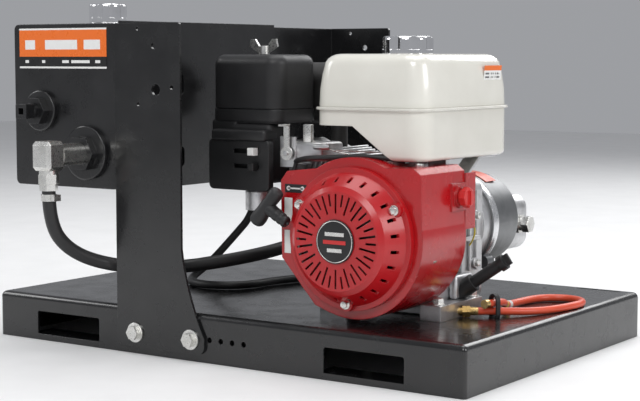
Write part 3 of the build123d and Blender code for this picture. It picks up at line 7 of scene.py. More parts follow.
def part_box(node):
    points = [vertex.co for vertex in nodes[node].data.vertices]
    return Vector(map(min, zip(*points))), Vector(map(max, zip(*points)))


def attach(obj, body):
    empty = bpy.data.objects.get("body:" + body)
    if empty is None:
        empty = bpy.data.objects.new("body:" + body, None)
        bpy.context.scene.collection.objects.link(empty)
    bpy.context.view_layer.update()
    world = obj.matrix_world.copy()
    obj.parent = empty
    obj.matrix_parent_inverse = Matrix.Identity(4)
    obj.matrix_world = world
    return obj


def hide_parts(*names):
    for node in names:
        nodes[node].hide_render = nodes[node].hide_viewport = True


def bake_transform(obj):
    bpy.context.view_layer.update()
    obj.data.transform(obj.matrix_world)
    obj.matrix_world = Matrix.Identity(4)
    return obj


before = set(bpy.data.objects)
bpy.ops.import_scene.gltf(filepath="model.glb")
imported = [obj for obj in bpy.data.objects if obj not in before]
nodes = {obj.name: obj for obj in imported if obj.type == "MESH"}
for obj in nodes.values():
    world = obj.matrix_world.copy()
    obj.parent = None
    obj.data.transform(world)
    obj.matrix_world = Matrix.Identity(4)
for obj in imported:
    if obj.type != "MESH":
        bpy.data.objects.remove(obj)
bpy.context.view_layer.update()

mm = 0.001


def clearSelection():
    if bpy.context.object and bpy.context.object.mode != "OBJECT":
        bpy.ops.object.mode_set(mode="OBJECT")
    bpy.ops.object.select_all(action="DESELECT")


def middle(name):
    low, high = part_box(name)
    return (low + high) / 2


clearSelection()

# ---- places that many pieces share, read from the frame
skidLow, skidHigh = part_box("skid_tray")
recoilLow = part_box("recoil_housing")[0]
shaftMid = middle("starter_reel")
crankX, crankZ = shaftMid.x, shaftMid.z
deckZ = skidHigh.z
wallY = skidLow.y
engineY = recoilLow.y


def onEngine(x, y, z):  # millimetres from the crank axis, the recoil front and the deck
    return Vector((crankX + x * mm, engineY + y * mm, deckZ + z * mm))


def onSkid(x, back, z):  # millimetres, back is the distance behind the skid's front wall
    return Vector((x * mm, wallY + back * mm, z * mm))


# ---- camera
camera = {
    "place": (1.4972, wallY - 1.8788, 0.477), "yaw": 0.605, "pitch": 0.0916, "lens": 87.375,
    "shift": (0.01145, -0.001),
}


def addCamera(c):
    data = bpy.data.cameras.new("unitCamera")
    data.lens = c["lens"]
    data.sensor_width = 36
    data.shift_x, data.shift_y = c["shift"]
    cam = bpy.data.objects.new("unitCamera", data)
    bpy.context.scene.collection.objects.link(cam)
    cy, sy = math.cos(c["yaw"]), math.sin(c["yaw"])
    cp, sp = math.cos(c["pitch"]), math.sin(c["pitch"])
    right = Vector((cy, sy, 0))
    ahead = Vector((-sy * cp, cy * cp, -sp))
    up = right.cross(ahead)
    turn = Matrix((right, up, -ahead)).transposed().to_4x4()
    cam.matrix_world = Matrix.Translation(c["place"]) @ turn
    bpy.context.scene.camera = cam


addCamera(camera)
print("camera set")

# ---- materials: every one reads Object coordinates


def newMaterial(name):
    mat = bpy.data.materials.new(name)
    mat.use_nodes = True
    tree = mat.node_tree
    return mat, tree, tree.nodes["Principled BSDF"]


def noiseOn(tree, scale, detail=4.0, rough=0.55, stretch=(1, 1, 1)):
    coords = tree.nodes.new("ShaderNodeTexCoord")
    mapping = tree.nodes.new("ShaderNodeMapping")
    mapping.inputs["Scale"].default_value = stretch
    noise = tree.nodes.new("ShaderNodeTexNoise")
    noise.inputs["Scale"].default_value = scale
    noise.inputs["Detail"].default_value = detail
    noise.inputs["Roughness"].default_value = rough
    tree.links.new(coords.outputs["Object"], mapping.inputs["Vector"])
    tree.links.new(mapping.outputs["Vector"], noise.inputs["Vector"])
    return noise.outputs["Fac"]


def rampOn(tree, source, stops):
    ramp = tree.nodes.new("ShaderNodeValToRGB")
    tree.links.new(source, ramp.inputs["Fac"])
    ramp.color_ramp.elements[0].position, first = stops[0][0], stops[0][1]
    ramp.color_ramp.elements[0].color = (*first, 1)
    ramp.color_ramp.elements[1].position, last = stops[-1][0], stops[-1][1]
    ramp.color_ramp.elements[1].color = (*last, 1)
    for place, colour in stops[1:-1]:
        ramp.color_ramp.elements.new(place).color = (*colour, 1)
    return ramp.outputs["Color"]


def rangeOn(tree, source, low, high):
    remap = tree.nodes.new("ShaderNodeMapRange")
    remap.inputs["From Min"].default_value = 0.25
    remap.inputs["From Max"].default_value = 0.75
    remap.inputs["To Min"].default_value = low
    remap.inputs["To Max"].default_value = high
    tree.links.new(source, remap.inputs["Value"])
    return remap.outputs["Result"]


def bumpOn(tree, bsdf, source, strength, distance, edgeRound):
    rounded = tree.nodes.new("ShaderNodeBevel")
    rounded.samples = 4
    rounded.inputs["Radius"].default_value = edgeRound
    bump = tree.nodes.new("ShaderNodeBump")
    bump.inputs["Strength"].default_value = strength
    bump.inputs["Distance"].default_value = distance
    tree.links.new(rounded.outputs["Normal"], bump.inputs["Normal"])
    tree.links.new(source, bump.inputs["Height"])
    tree.links.new(bump.outputs["Normal"], bsdf.inputs["Normal"])


def edgeMask(tree, radius):  # 1 where the surface turns within the radius
    rounded = tree.nodes.new("ShaderNodeBevel")
    rounded.samples = 4
    rounded.inputs["Radius"].default_value = radius
    geo = tree.nodes.new("ShaderNodeNewGeometry")
    dot = tree.nodes.new("ShaderNodeVectorMath")
    dot.operation = "DOT_PRODUCT"
    tree.links.new(rounded.outputs["Normal"], dot.inputs[0])
    tree.links.new(geo.outputs["Normal"], dot.inputs[1])
    mask = tree.nodes.new("ShaderNodeMapRange")
    mask.inputs["From Min"].default_value = 0.97
    mask.inputs["From Max"].default_value = 0.78
    tree.links.new(dot.outputs["Value"], mask.inputs["Value"])
    return mask.outputs["Result"]


def mixOn(tree, factor, first, second):
    mix = tree.nodes.new("ShaderNodeMix")
    mix.data_type = "RGBA"
    for socket, value in ((mix.inputs[0], factor), (mix.inputs[6], first), (mix.inputs[7], second)):
        if isinstance(value, tuple):
            socket.default_value = (*value, 1)
        elif isinstance(value, float):
            socket.default_value = value
        else:
            tree.links.new(value, socket)
    return mix.outputs[2]


def paintMaterial(
    name, dark, light, rough, coat, grain=140, bump=0.12, edgeWearAndHighlight=None, round=0.0012, spread=9,
):
    mat, tree, bsdf = newMaterial(name)
    clouds = noiseOn(tree, spread, 5)
    fine = noiseOn(tree, grain, 3)
    colour = rampOn(tree, clouds, [(0.3, dark), (0.7, light)])
    # edges are mixed toward the given edge colour: on the black paints this lighter colour is a painted
    # edge highlight as well as edge wear
    if edgeWearAndHighlight:
        edges = edgeMask(tree, 0.0016)
        patches = rangeOn(tree, noiseOn(tree, 60, 5), 0.0, 0.55)
        both = tree.nodes.new("ShaderNodeMath")
        both.operation = "MULTIPLY"
        tree.links.new(edges, both.inputs[0])
        tree.links.new(patches, both.inputs[1])
        colour = mixOn(tree, both.outputs["Value"], colour, edgeWearAndHighlight)
    tree.links.new(colour, bsdf.inputs["Base Color"])
    tree.links.new(rangeOn(tree, noiseOn(tree, 24, 4), rough[0], rough[1]), bsdf.inputs["Roughness"])
    bsdf.inputs["Coat Weight"].default_value = coat
    bsdf.inputs["Coat Roughness"].default_value = 0.12
    bumpOn(tree, bsdf, fine, bump, 0.0004, round)
    return mat


def metalMaterial(name, dark, light, rough, grain, bump, stretch=(1, 1, 1), round=0.0008, spots=None):
    mat, tree, bsdf = newMaterial(name)
    clouds = noiseOn(tree, 16, 6)
    fine = noiseOn(tree, grain, 5, 0.65, stretch)
    colour = rampOn(tree, clouds, [(0.28, dark), (0.5, light), (0.76, dark)])
    if spots:
        colour = mixOn(tree, rangeOn(tree, noiseOn(tree, 45, 6), -0.6, 0.5), colour, spots)
    tree.links.new(colour, bsdf.inputs["Base Color"])
    bsdf.inputs["Metallic"].default_value = 1.0
    tree.links.new(rangeOn(tree, fine, rough[0], rough[1]), bsdf.inputs["Roughness"])
    bumpOn(tree, bsdf, fine, bump, 0.0005, round)
    return mat


# the light grey edge colour is a painted edge highlight along the bends, partly edge wear
skidPaint = paintMaterial(
    "skidPaint", (0.0045, 0.0045, 0.005), (0.009, 0.009, 0.0095), (0.16, 0.34), 0.35, 210, 0.10,
    (0.055, 0.055, 0.058), 0.0015,
)
# the light grey edge colour is a painted edge highlight, partly edge wear
tankPaint = paintMaterial(
    "tankPaint", (0.005, 0.005, 0.0055), (0.010, 0.010, 0.011), (0.22, 0.38), 0.25, 190, 0.13,
    (0.05, 0.05, 0.055), 0.0015,
)
shroudRed = paintMaterial(
    "shroudRed", (0.34, 0.002, 0.004), (0.44, 0.004, 0.008), (0.20, 0.32), 0.4, 120, 0.05,
    (0.30, 0.02, 0.02), 0.003,
)
recoilRed = paintMaterial(
    "recoilRed", (0.36, 0.003, 0.005), (0.46, 0.005, 0.010), (0.26, 0.38), 0.25, 150, 0.08,
    (0.34, 0.03, 0.03), 0.0016,
)
tankCream = paintMaterial(
    "tankCream", (0.66, 0.645, 0.585), (0.73, 0.715, 0.655), (0.17, 0.27), 0.55, 120, 0.05,
    (0.5, 0.48, 0.42), 0.002,
)
blackPlastic = paintMaterial(
    "blackPlastic", (0.006, 0.006, 0.0065), (0.013, 0.013, 0.014), (0.36, 0.52), 0.0, 900, 0.35, None,
    0.002,
)
softBlack = paintMaterial(
    "softBlack", (0.008, 0.008, 0.009), (0.016, 0.016, 0.017), (0.45, 0.62), 0.0, 600, 0.3, None, 0.001,
)
hoseRubber = paintMaterial(
    "hoseRubber", (0.007, 0.007, 0.0075), (0.018, 0.018, 0.019), (0.38, 0.56), 0.0, 700, 0.35, None,
    0.0005,
)
drainRubber = paintMaterial(
    "drainRubber", (0.55, 0.055, 0.022), (0.72, 0.095, 0.04), (0.30, 0.45), 0.1, 500, 0.2, None, 0.0005,
)
redPlastic = paintMaterial(
    "redPlastic", (0.48, 0.012, 0.012), (0.6, 0.02, 0.02), (0.25, 0.36), 0.2, 400, 0.12, None, 0.001,
)
whitePlastic = paintMaterial(
    "whitePlastic", (0.68, 0.68, 0.66), (0.78, 0.78, 0.76), (0.3, 0.4), 0.1, 400, 0.1, None, 0.0006,
)
mufflerPaint = paintMaterial(
    "mufflerPaint", (0.012, 0.012, 0.012), (0.03, 0.028, 0.027), (0.5, 0.7), 0.0, 260, 0.3,
    (0.10, 0.07, 0.05), 0.002,
)
filterFelt = paintMaterial(
    "filterFelt", (0.5, 0.45, 0.28), (0.62, 0.56, 0.36), (0.8, 0.95), 0.0, 500, 0.6, None, 0.001,
)
ropeNylon = paintMaterial(
    "ropeNylon", (0.02, 0.02, 0.022), (0.06, 0.06, 0.065), (0.6, 0.8), 0.0, 1400, 0.7, None, 0.0003,
)
castAlloy = metalMaterial(
    "castAlloy", (0.50, 0.50, 0.50), (0.70, 0.70, 0.71), (0.30, 0.52), 420, 0.32, (1, 1, 1), 0.002,
    (0.30, 0.29, 0.28),
)
turnedAlloy = metalMaterial(
    "turnedAlloy", (0.62, 0.62, 0.63), (0.80, 0.80, 0.81), (0.20, 0.34), 260, 0.10, (0.2, 8, 0.2),
    0.0008,
)
drumGrey = metalMaterial(
    "drumGrey", (0.17, 0.175, 0.18), (0.24, 0.245, 0.25), (0.34, 0.48), 300, 0.2, (0.3, 6, 0.3), 0.002,
)
zincPlate = metalMaterial(
    "zincPlate", (0.60, 0.595, 0.57), (0.78, 0.775, 0.75), (0.22, 0.36), 340, 0.10, (1, 1, 1), 0.0008,
    (0.45, 0.44, 0.40),
)
steelBar = metalMaterial(
    "steelBar", (0.5, 0.5, 0.5), (0.66, 0.66, 0.66), (0.24, 0.38), 300, 0.12, (6, 1, 6), 0.0006,
)
chromePlate = metalMaterial(
    "chromePlate", (0.78, 0.78, 0.79), (0.90, 0.90, 0.91), (0.045, 0.10), 90, 0.03, (1, 1, 1), 0.0012,
)
brassBar = metalMaterial(
    "brassBar", (0.55, 0.36, 0.13), (0.78, 0.56, 0.25), (0.22, 0.36), 320, 0.1, (1, 1, 1), 0.0006,
    (0.35, 0.22, 0.08),
)
print("materials made")

finishes = {
    "air_cleaner_base": blackPlastic, "air_cleaner_cover": blackPlastic,
    "air_filter_element": filterFelt, "bell_housing": drumGrey,
    "bracket_bolts": zincPlate, "carburetor": castAlloy, "choke_lever": whitePlastic,
    "control_cover": blackPlastic,
    "coupling_halves": steelBar, "crankcase": castAlloy, "crankcase_cover": castAlloy,
    "crankshaft": steelBar,
    "cylinder_head": castAlloy, "drain_fitting": brassBar, "drain_hose_cap": brassBar,
    "engine_bolts": zincPlate,
    "engine_brackets": castAlloy, "fan_shroud": shroudRed, "filler_cap": chromePlate,
    "filler_neck": chromePlate,
    "flywheel": softBlack, "fork_straps": skidPaint, "fuel_cap": chromePlate,
    "fuel_tank_lower": tankCream,
    "fuel_tank_upper": tankCream, "fuel_valve_lever": blackPlastic, "hose_clamps": zincPlate,
    "hose_clip": softBlack,
    "hose_fittings": zincPlate, "muffler": mufflerPaint, "oil_filler_cap": blackPlastic,
    "oil_filler_tube": softBlack,
    "piston": turnedAlloy, "port_reducers": tankPaint, "port_rings": tankPaint,
    "pressure_fitting": zincPlate,
    "pump_body": castAlloy, "pump_cover": castAlloy, "pump_drive_gear": steelBar,
    "pump_driven_gear": steelBar,
    "recoil_housing": recoilRed, "return_plug": tankPaint, "rocker_cover": castAlloy,
    "skid_tray": skidPaint,
    "spark_plug": softBlack, "starter_grip": softBlack, "starter_reel": softBlack,
    "starter_rope": ropeNylon,
    "suction_elbow": zincPlate, "suction_hose_fitting": zincPlate, "suction_strainer": steelBar,
    "switch_knob": redPlastic,
    "tank_bracket": skidPaint, "tank_end_plates": tankPaint, "tank_shell": tankPaint,
    "throttle_lever": zincPlate, "wing_nut": zincPlate,
}
for name, mat in finishes.items():
    mesh = nodes[name].data
    if mesh.materials:
        for index in range(len(mesh.materials)):
            mesh.materials[index] = mat
    else:
        mesh.materials.append(mat)
print("frame pieces painted")

# ---- hoses: the same routes as the frame's, in metres


def addHose(name, points, radius, mat, replaced):
    curve = bpy.data.curves.new(name, "CURVE")
    curve.dimensions = "3D"
    spline = curve.splines.new("NURBS")
    spline.points.add(len(points) - 1)
    for point, place in zip(spline.points, points):
        point.co = (*place, 1)
    spline.order_u = 3
    spline.use_endpoint_u = True
    curve.resolution_u = 10
    curve.bevel_depth = radius
    curve.bevel_resolution = 5
    curve.use_fill_caps = True
    obj = bpy.data.objects.new(name, curve)
    bpy.context.scene.collection.objects.link(obj)
    curve.materials.append(mat)
    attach(obj, "base")
    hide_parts(replaced)
    return obj


def runLength(obj):
    bare = obj.copy()
    bare.data = obj.data.copy()
    bare.data.bevel_depth = 0
    mesh = bpy.data.meshes.new_from_object(bare)
    places = [v.co for v in mesh.vertices]
    total = sum((places[e.vertices[0]] - places[e.vertices[1]]).length for e in mesh.edges)
    bpy.data.objects.remove(bare)
    return total


suctionRoute = [
    onSkid(-249, -92, 265.5), onSkid(-249, -92, 212), onSkid(-239, -58, 166), onSkid(-212, 5, 138),
    onSkid(-150, 85, 128),
    onSkid(-70, 165, 141), onSkid(-35, 275, 155), onSkid(-45, 385, 172), onSkid(27.8, 490, 193.2),
    onSkid(157.8, 490, 193.2),
]
returnRoute = [
    onSkid(
        -202.7, 393.6, 239.5,
    ), onSkid(-202.7, 393.6, 195), onSkid(-228, 358, 148), onSkid(-244, 312, 106),
    onSkid(-247, 258, 83.4), onSkid(-207, 218, 83.4), onSkid(-149, 218, 83.4), onSkid(-112, 258, 83.4),
    onSkid(-106, 335, 83.4),
    onSkid(-62, 425, 83.4), onSkid(20, 490, 92.4), onSkid(99.8, 528, 169.2), onSkid(163.8, 528, 169.2),
]
drainStart = onEngine(123, 213, 9.5)
drainRoute = [
    drainStart, onEngine(150.5, 231.3, 9.5), onSkid(421, 288, 82.4), onSkid(443, 350, 82.4),
    onSkid(447, 420, 82.4),
    onSkid(405, 443, 82.4), onSkid(363, 420, 82.4), onSkid(355, 355, 82.4), onSkid(360, 303, 84.4),
    onSkid(379, 262, 98.6),
    onSkid(372, 222, 98.6),
]
suctionHose = addHose("suctionHose", suctionRoute, 0.011, hoseRubber, "suction_hose")
returnHose = addHose("returnHose", returnRoute, 0.007, hoseRubber, "return_hose")
drainHose = addHose("drainHose", drainRoute, 0.006, drainRubber, "drain_hose")
round(runLength(suctionHose), 3)
round(runLength(returnHose), 3)
round(runLength(drainHose), 3)
print("hoses laid", [round(runLength(h), 3) for h in (suctionHose, returnHose, drainHose)])

# ---- floor and lights
bpy.ops.mesh.primitive_plane_add(size=14, location=(0, 0, -0.0005))
floor = bpy.context.object
floor.name = "paleFloor"
floorMat = paintMaterial("floorMat", (0.80, 0.80, 0.80), (0.84, 0.84, 0.84), (0.55, 0.65), 0.0, 30, 0.02)
floor.data.materials.append(floorMat)

world = bpy.data.worlds.new("studio")
bpy.context.scene.world = world
world.use_nodes = True
world.node_tree.nodes["Background"].inputs["Color"].default_value = (0.93, 0.95, 1.0, 1)
world.node_tree.nodes["Background"].inputs["Strength"].default_value = 0.36

lights = {
    "keySoftbox": {"place": (1.2, -3.2, 3.0), "aim": (0.1, 0, 0.3), "size": 1.6, "power": 62},
    "sideSoftbox": {"place": (-3.0, -1.4, 2.0), "aim": (0, 0, 0.3), "size": 1.4, "power": 34},
    "rightSoftbox": {"place": (3.4, -0.2, 1.7), "aim": (0.2, 0, 0.25), "size": 1.5, "power": 42},
    "rearSoftbox": {"place": (0.2, 3.2, 2.6), "aim": (0, 0, 0.2), "size": 2.2, "power": 60},
    "topSoftbox": {"place": (0.0, 0.3, 3.1), "aim": (0, 0, 0), "size": 2.2, "power": 44},
}
for name, light in lights.items():
    lamp = bpy.data.lights.new(name, "AREA")
    lamp.size = light["size"]
    lamp.energy = light["power"]
    holder = bpy.data.objects.new(name, lamp)
    holder.location = light["place"]
    holder.rotation_euler = (
        Vector(light["aim"]) - Vector(light["place"])
    ).to_track_quat("-Z", "Y").to_euler()
    bpy.context.scene.collection.objects.link(holder)
bpy.context.scene.view_settings.view_transform = "Standard"
print("studio lit")

# ---- shared modelling helpers


def finishPiece(obj, name, mat, body, smooth=35):
    bpy.ops.object.mode_set(mode="OBJECT")
    clearSelection()
    obj.select_set(True)
    bpy.context.view_layer.objects.active = obj
    bpy.ops.object.transform_apply(location=True, rotation=True, scale=True)
    bpy.ops.object.shade_smooth_by_angle(angle=math.radians(smooth))
    obj.name = name
    obj.data.materials.clear()
    obj.data.materials.append(mat)
    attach(obj, body)
    clearSelection()
    return obj


def roundEdges(obj, width, segments=3, angle=30):
    bevel = obj.modifiers.new("softEdges", "BEVEL")
    bevel.width = width
    bevel.segments = segments
    bevel.limit_method = "ANGLE"
    bevel.angle_limit = math.radians(angle)
    bpy.context.view_layer.objects.active = obj
    bpy.ops.object.modifier_apply(modifier=bevel.name)


def roundEdgesWhole(obj, width, segments):
    bpy.ops.object.mode_set(mode="OBJECT")
    roundEdges(obj, width, segments)


def selectFaces(obj, test):  # in edit mode, by face centre and normal
    bpy.ops.object.mode_set(mode="OBJECT")
    for poly in obj.data.polygons:
        poly.select = test(poly.center, poly.normal)
    for edge in obj.data.edges:
        edge.select = False
    for vertex in obj.data.vertices:
        vertex.select = False
    for poly in obj.data.polygons:
        if poly.select:
            for index in poly.vertices:
                obj.data.vertices[index].select = True
    bpy.ops.object.mode_set(mode="EDIT")
    bpy.ops.mesh.select_mode(type="FACE")


def startBox(low, high):
    clearSelection()
    bpy.ops.mesh.primitive_cube_add(size=1, location=(Vector(low) + Vector(high)) / 2)
    obj = bpy.context.object
    obj.scale = Vector(high) - Vector(low)
    bpy.ops.object.transform_apply(location=True, rotation=True, scale=True)
    return obj


def roundCorners(obj, width, axis=2, segments=8):  # the four edges along one axis
    bpy.ops.object.mode_set(mode="EDIT")
    bpy.ops.mesh.select_all(action="DESELECT")
    bpy.ops.mesh.select_mode(type="EDGE")
    bpy.ops.object.mode_set(mode="OBJECT")
    for edge in obj.data.edges:
        ends = [obj.data.vertices[i].co for i in edge.vertices]
        run = ends[1] - ends[0]
        edge.select = abs(run[axis]) > 0.9 * run.length
    bpy.ops.object.mode_set(mode="EDIT")
    bpy.ops.mesh.bevel(offset=width, segments=segments, affect="EDGES")


def growTop(steps, up=1):  # each step is a rise and the two scales of the new rim
    for rise, scaleX, scaleY in steps:
        bpy.ops.mesh.extrude_region_move(TRANSFORM_OT_translate={"value": (0, 0, up * rise)})
        bpy.ops.transform.resize(value=(scaleX, scaleY, 1))


def steppedShell(low, high, corner, steps, up=1):
    obj = startBox(low, high)
    roundCorners(obj, corner)
    edgeZ = high[2] if up > 0 else low[2]
    selectFaces(obj, lambda c, n: up * n.z > 0.9 and abs(c.z - edgeZ) < 1e-4)
    growTop(steps, up)
    bpy.ops.object.mode_set(mode="OBJECT")
    return obj


def startRod(place, radius, length, axis="Z", sides=40):
    clearSelection()
    turn = {"X": (0, math.pi / 2, 0), "Y": (math.pi / 2, 0, 0), "Z": (0, 0, 0)}[axis]
    bpy.ops.mesh.primitive_cylinder_add(
        radius=radius, depth=length, vertices=sides, location=place, rotation=turn,
    )
    obj = bpy.context.object
    bpy.ops.object.transform_apply(location=True, rotation=True, scale=True)
    return obj


# ---- fuel tank: a tapered crown over a rolled seam
fuelTank = {"sides": 0.93, "crownRise": 0.018, "corner": 0.032}


def addFuelTank(t):
    low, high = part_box("fuel_tank_upper")
    seam = low.z
    flange = 5 * mm
    bodyLow = Vector((low.x + flange, low.y + flange, seam + 2 * mm))
    bodyHigh = Vector((high.x - flange, high.y - flange, seam + 6 * mm))
    capSeat = onEngine(0, 0, 406).z
    height = capSeat - bodyHigh.z
    width = bodyHigh.x - bodyLow.x
    steps = [(0.30 * height, 0.992, 0.994), (0.30 * height, 0.972, 0.980), (0.16 * height, 0.972, 0.982)]
    for part in range(1, 6):  # the rounded shoulder
        angle = part / 5 * math.pi / 2
        before = (part - 1) / 5 * math.pi / 2
        inset = 0.022 * ((1 - math.cos(angle)) - (1 - math.cos(before)))
        steps.append(
            (
                0.24 * height * (math.sin(angle) - math.sin(before)), 1 - 2 * inset / width,
                1 - 2 * inset / (1.4 * width),
            )
        )
    upper = steppedShell(bodyLow, bodyHigh, t["corner"], steps)
    finishPiece(upper, "fuelTankCrown", tankCream, "base", 50)
    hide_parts("fuel_tank_upper")
    flangeRing = startBox((low.x, low.y, seam - 0.4 * mm), (high.x, high.y, seam + 2 * mm))
    roundCorners(flangeRing, t["corner"] + flange)
    bpy.ops.object.mode_set(mode="OBJECT")
    roundEdges(flangeRing, 0.0009, 2)
    finishPiece(flangeRing, "fuelTankSeam", tankCream, "base")
    neck = startRod(Vector((middle("fuel_cap").x, middle("fuel_cap").y, capSeat - 1 * mm)), 0.030, 0.008)
    roundEdges(neck, 0.0015, 2)
    finishPiece(neck, "fuelNeck", chromePlate, "base")


addFuelTank(fuelTank)
print("fuel tank shaped")


# ---- labels: generic graphics, made of bands in the label's own space


def labelMaterial(name, alongAxis, upAxis, origin, width, height, bands, lineRows, lineColour):
    # bands are (share of height, colour) from the bottom
    # lineRows are (from, to, rows, noise scale, share of the row), in shares of the height
    mat, tree, bsdf = newMaterial(name)
    coords = tree.nodes.new("ShaderNodeTexCoord")
    split = tree.nodes.new("ShaderNodeSeparateXYZ")
    tree.links.new(coords.outputs["Object"], split.inputs[0])

    def shareOf(axis, start, size):
        share = tree.nodes.new("ShaderNodeMapRange")
        share.inputs["From Min"].default_value = start
        share.inputs["From Max"].default_value = start + size
        tree.links.new(split.outputs[axis], share.inputs["Value"])
        return share.outputs["Result"]

    up = shareOf(upAxis, origin[upAxis], height)
    along = shareOf(alongAxis, origin[alongAxis], width)
    ramp = tree.nodes.new("ShaderNodeValToRGB")
    ramp.color_ramp.interpolation = "CONSTANT"
    tree.links.new(up, ramp.inputs["Fac"])
    ramp.color_ramp.elements[0].position = bands[0][0]
    ramp.color_ramp.elements[0].color = (*bands[0][1], 1)
    ramp.color_ramp.elements[1].position = bands[1][0]
    ramp.color_ramp.elements[1].color = (*bands[1][1], 1)
    for place, colour in bands[2:]:
        ramp.color_ramp.elements.new(place).color = (*colour, 1)
    colour = ramp.outputs["Color"]
    for start, end, rows, pieces, share in lineRows:
        wave = tree.nodes.new("ShaderNodeMath")
        wave.operation = "MULTIPLY_ADD"
        wave.inputs[1].default_value = rows / (end - start)
        wave.inputs[2].default_value = -start * rows / (end - start)
        tree.links.new(up, wave.inputs[0])
        fract = tree.nodes.new("ShaderNodeMath")
        fract.operation = "PINGPONG"
        fract.inputs[1].default_value = 0.5
        tree.links.new(wave.outputs[0], fract.inputs[0])
        row = tree.nodes.new("ShaderNodeMath")
        row.operation = "GREATER_THAN"
        row.inputs[1].default_value = 0.5 - share / 2
        tree.links.new(fract.outputs[0], row.inputs[0])
        words = noiseOn(tree, pieces, 0, 0.5, (1, 1, 0.02))
        word = tree.nodes.new("ShaderNodeMath")
        word.operation = "GREATER_THAN"
        word.inputs[1].default_value = 0.44
        tree.links.new(words, word.inputs[0])
        mask = row.outputs[0]
        for source, limit, mode in (
            (up, start, "GREATER_THAN"), (up, end, "LESS_THAN"), (along, 0.07, "GREATER_THAN"),
            (along, 0.93, "LESS_THAN"),
        ):
            test = tree.nodes.new("ShaderNodeMath")
            test.operation = mode
            test.inputs[1].default_value = limit
            tree.links.new(source, test.inputs[0])
            both = tree.nodes.new("ShaderNodeMath")
            both.operation = "MULTIPLY"
            tree.links.new(mask, both.inputs[0])
            tree.links.new(test.outputs[0], both.inputs[1])
            mask = both.outputs[0]
        both = tree.nodes.new("ShaderNodeMath")
        both.operation = "MULTIPLY"
        tree.links.new(mask, both.inputs[0])
        tree.links.new(word.outputs[0], both.inputs[1])
        colour = mixOn(tree, both.outputs[0], colour, lineColour)
    tree.links.new(colour, bsdf.inputs["Base Color"])
    tree.links.new(rangeOn(tree, noiseOn(tree, 60, 3), 0.24, 0.36), bsdf.inputs["Roughness"])
    bumpOn(tree, bsdf, noiseOn(tree, 300, 3), 0.05, 0.0002, 0.0004)
    return mat


orangeInk, darkInk, paleInk = (0.80, 0.16, 0.02), (0.010, 0.010, 0.010), (0.78, 0.78, 0.76)
tankLabel = {"left": -401, "right": -205.5, "low": 458.5, "high": 524.5, "thick": 0.6}


def addTankLabel(t):
    low = Vector((t["left"] * mm, wallY - t["thick"] * mm, t["low"] * mm))
    high = Vector((t["right"] * mm, wallY, t["high"] * mm))
    plate = startBox(low, high)
    roundEdges(plate, 0.0002, 1)
    mat = labelMaterial(
        "tankLabelInk", 0, 2, low, high.x - low.x, high.z - low.z,
        [(0.0, paleInk), (0.045, darkInk), (0.29, orangeInk), (0.955, paleInk)],
        [(0.10, 0.24, 1, 60, 0.5), (0.40, 0.78, 1, 26, 0.62)], paleInk,
    )
    finishPiece(plate, "tankLabel", mat, "base")


addTankLabel(tankLabel)

fuelLabel = {"y": (262, 318), "z": (348, 388), "thick": 0.5}


def addFuelLabel(t):
    low = onEngine(105, t["y"][0], t["z"][0])
    high = onEngine(105, t["y"][1], t["z"][1])
    plate = startBox((low.x - 4.4 * mm, low.y, low.z), (low.x - 3.9 * mm, high.y, high.z))
    mat = labelMaterial(
        "fuelLabelInk", 1, 2, low, high.y - low.y, high.z - low.z, [(0.0, paleInk), (0.80, orangeInk)],
        [(0.05, 0.75, 5, 240, 0.5)], (0.12, 0.12, 0.12),
    )
    bpy.ops.object.mode_set(mode="EDIT")
    bpy.ops.mesh.select_all(action="SELECT")
    bpy.ops.transform.rotate(
        value=math.radians(-5.0), orient_axis="Y",
        center_override=(low.x - 4 * mm, (low.y + high.y) / 2, low.z),
    )
    finishPiece(plate, "fuelLabel", mat, "base")


addFuelLabel(fuelLabel)
print("labels stuck on")


# ---- recoil cover badge and screws
badge = {"radius": 33, "proud": 3.0}


def addBadge(b):
    face = recoilLow.y
    disc = startRod(
        Vector((crankX, face - b["proud"] / 2 * mm, crankZ)), b["radius"] * mm, b["proud"] * mm, "Y", 64,
    )
    roundEdges(disc, 0.0012, 3)
    finishPiece(disc, "recoilBadge", blackPlastic, "base")
    clearSelection()
    bpy.ops.mesh.primitive_torus_add(
        major_radius=(b["radius"] - 2.2) * mm, minor_radius=0.0007, major_segments=64, minor_segments=8,
        location=(crankX, face - b["proud"] * mm, crankZ), rotation=(math.pi / 2, 0, 0),
    )
    finishPiece(bpy.context.object, "badgeRing", zincPlate, "base")
    for index, height in enumerate((11, -1, -13)):  # three plain bars in place of lettering
        width = (34, 40, 26)[index]
        bar = startBox(
            (crankX - width / 2 * mm, face - (b["proud"] + 0.6) * mm, crankZ + (height - 3) * mm),
            (crankX + width / 2 * mm, face - b["proud"] * mm, crankZ + (height + 3) * mm),
        )
        roundEdges(bar, 0.0003, 1)
        finishPiece(
            bar, f"badgeBar{index + 1}", (zincPlate, redPlastic, zincPlate)[index], "base",
        )


def addRecoilScrews():
    for index, angle in enumerate((30, 150, 270)):
        x = crankX + 97 * mm * math.cos(math.radians(angle))
        z = crankZ + 97 * mm * math.sin(math.radians(angle))
        flange = startRod(Vector((x, engineY + 27 * mm, z)), 0.0078, 0.002, "Y", 32)
        roundEdges(flange, 0.0005, 2)
        finishPiece(flange, f"recoilScrewFlange{index + 1}", zincPlate, "base")
        head = startRod(Vector((x, engineY + 23.2 * mm, z)), 0.0058, 0.0056, "Y", 6)
        roundEdges(head, 0.0006, 2)
        finishPiece(head, f"recoilScrewHead{index + 1}", zincPlate, "base")


addBadge(badge)
addRecoilScrews()
print("recoil cover dressed")

# ---- starter rope: stretches between the cover and the grip
gripMid = onEngine(-139.7, 20, 173)
ropeStart = onEngine(-99.5, 20, 148)
ropeDir = (gripMid - ropeStart).normalized()
ropeEnd = gripMid - ropeDir * 0.006


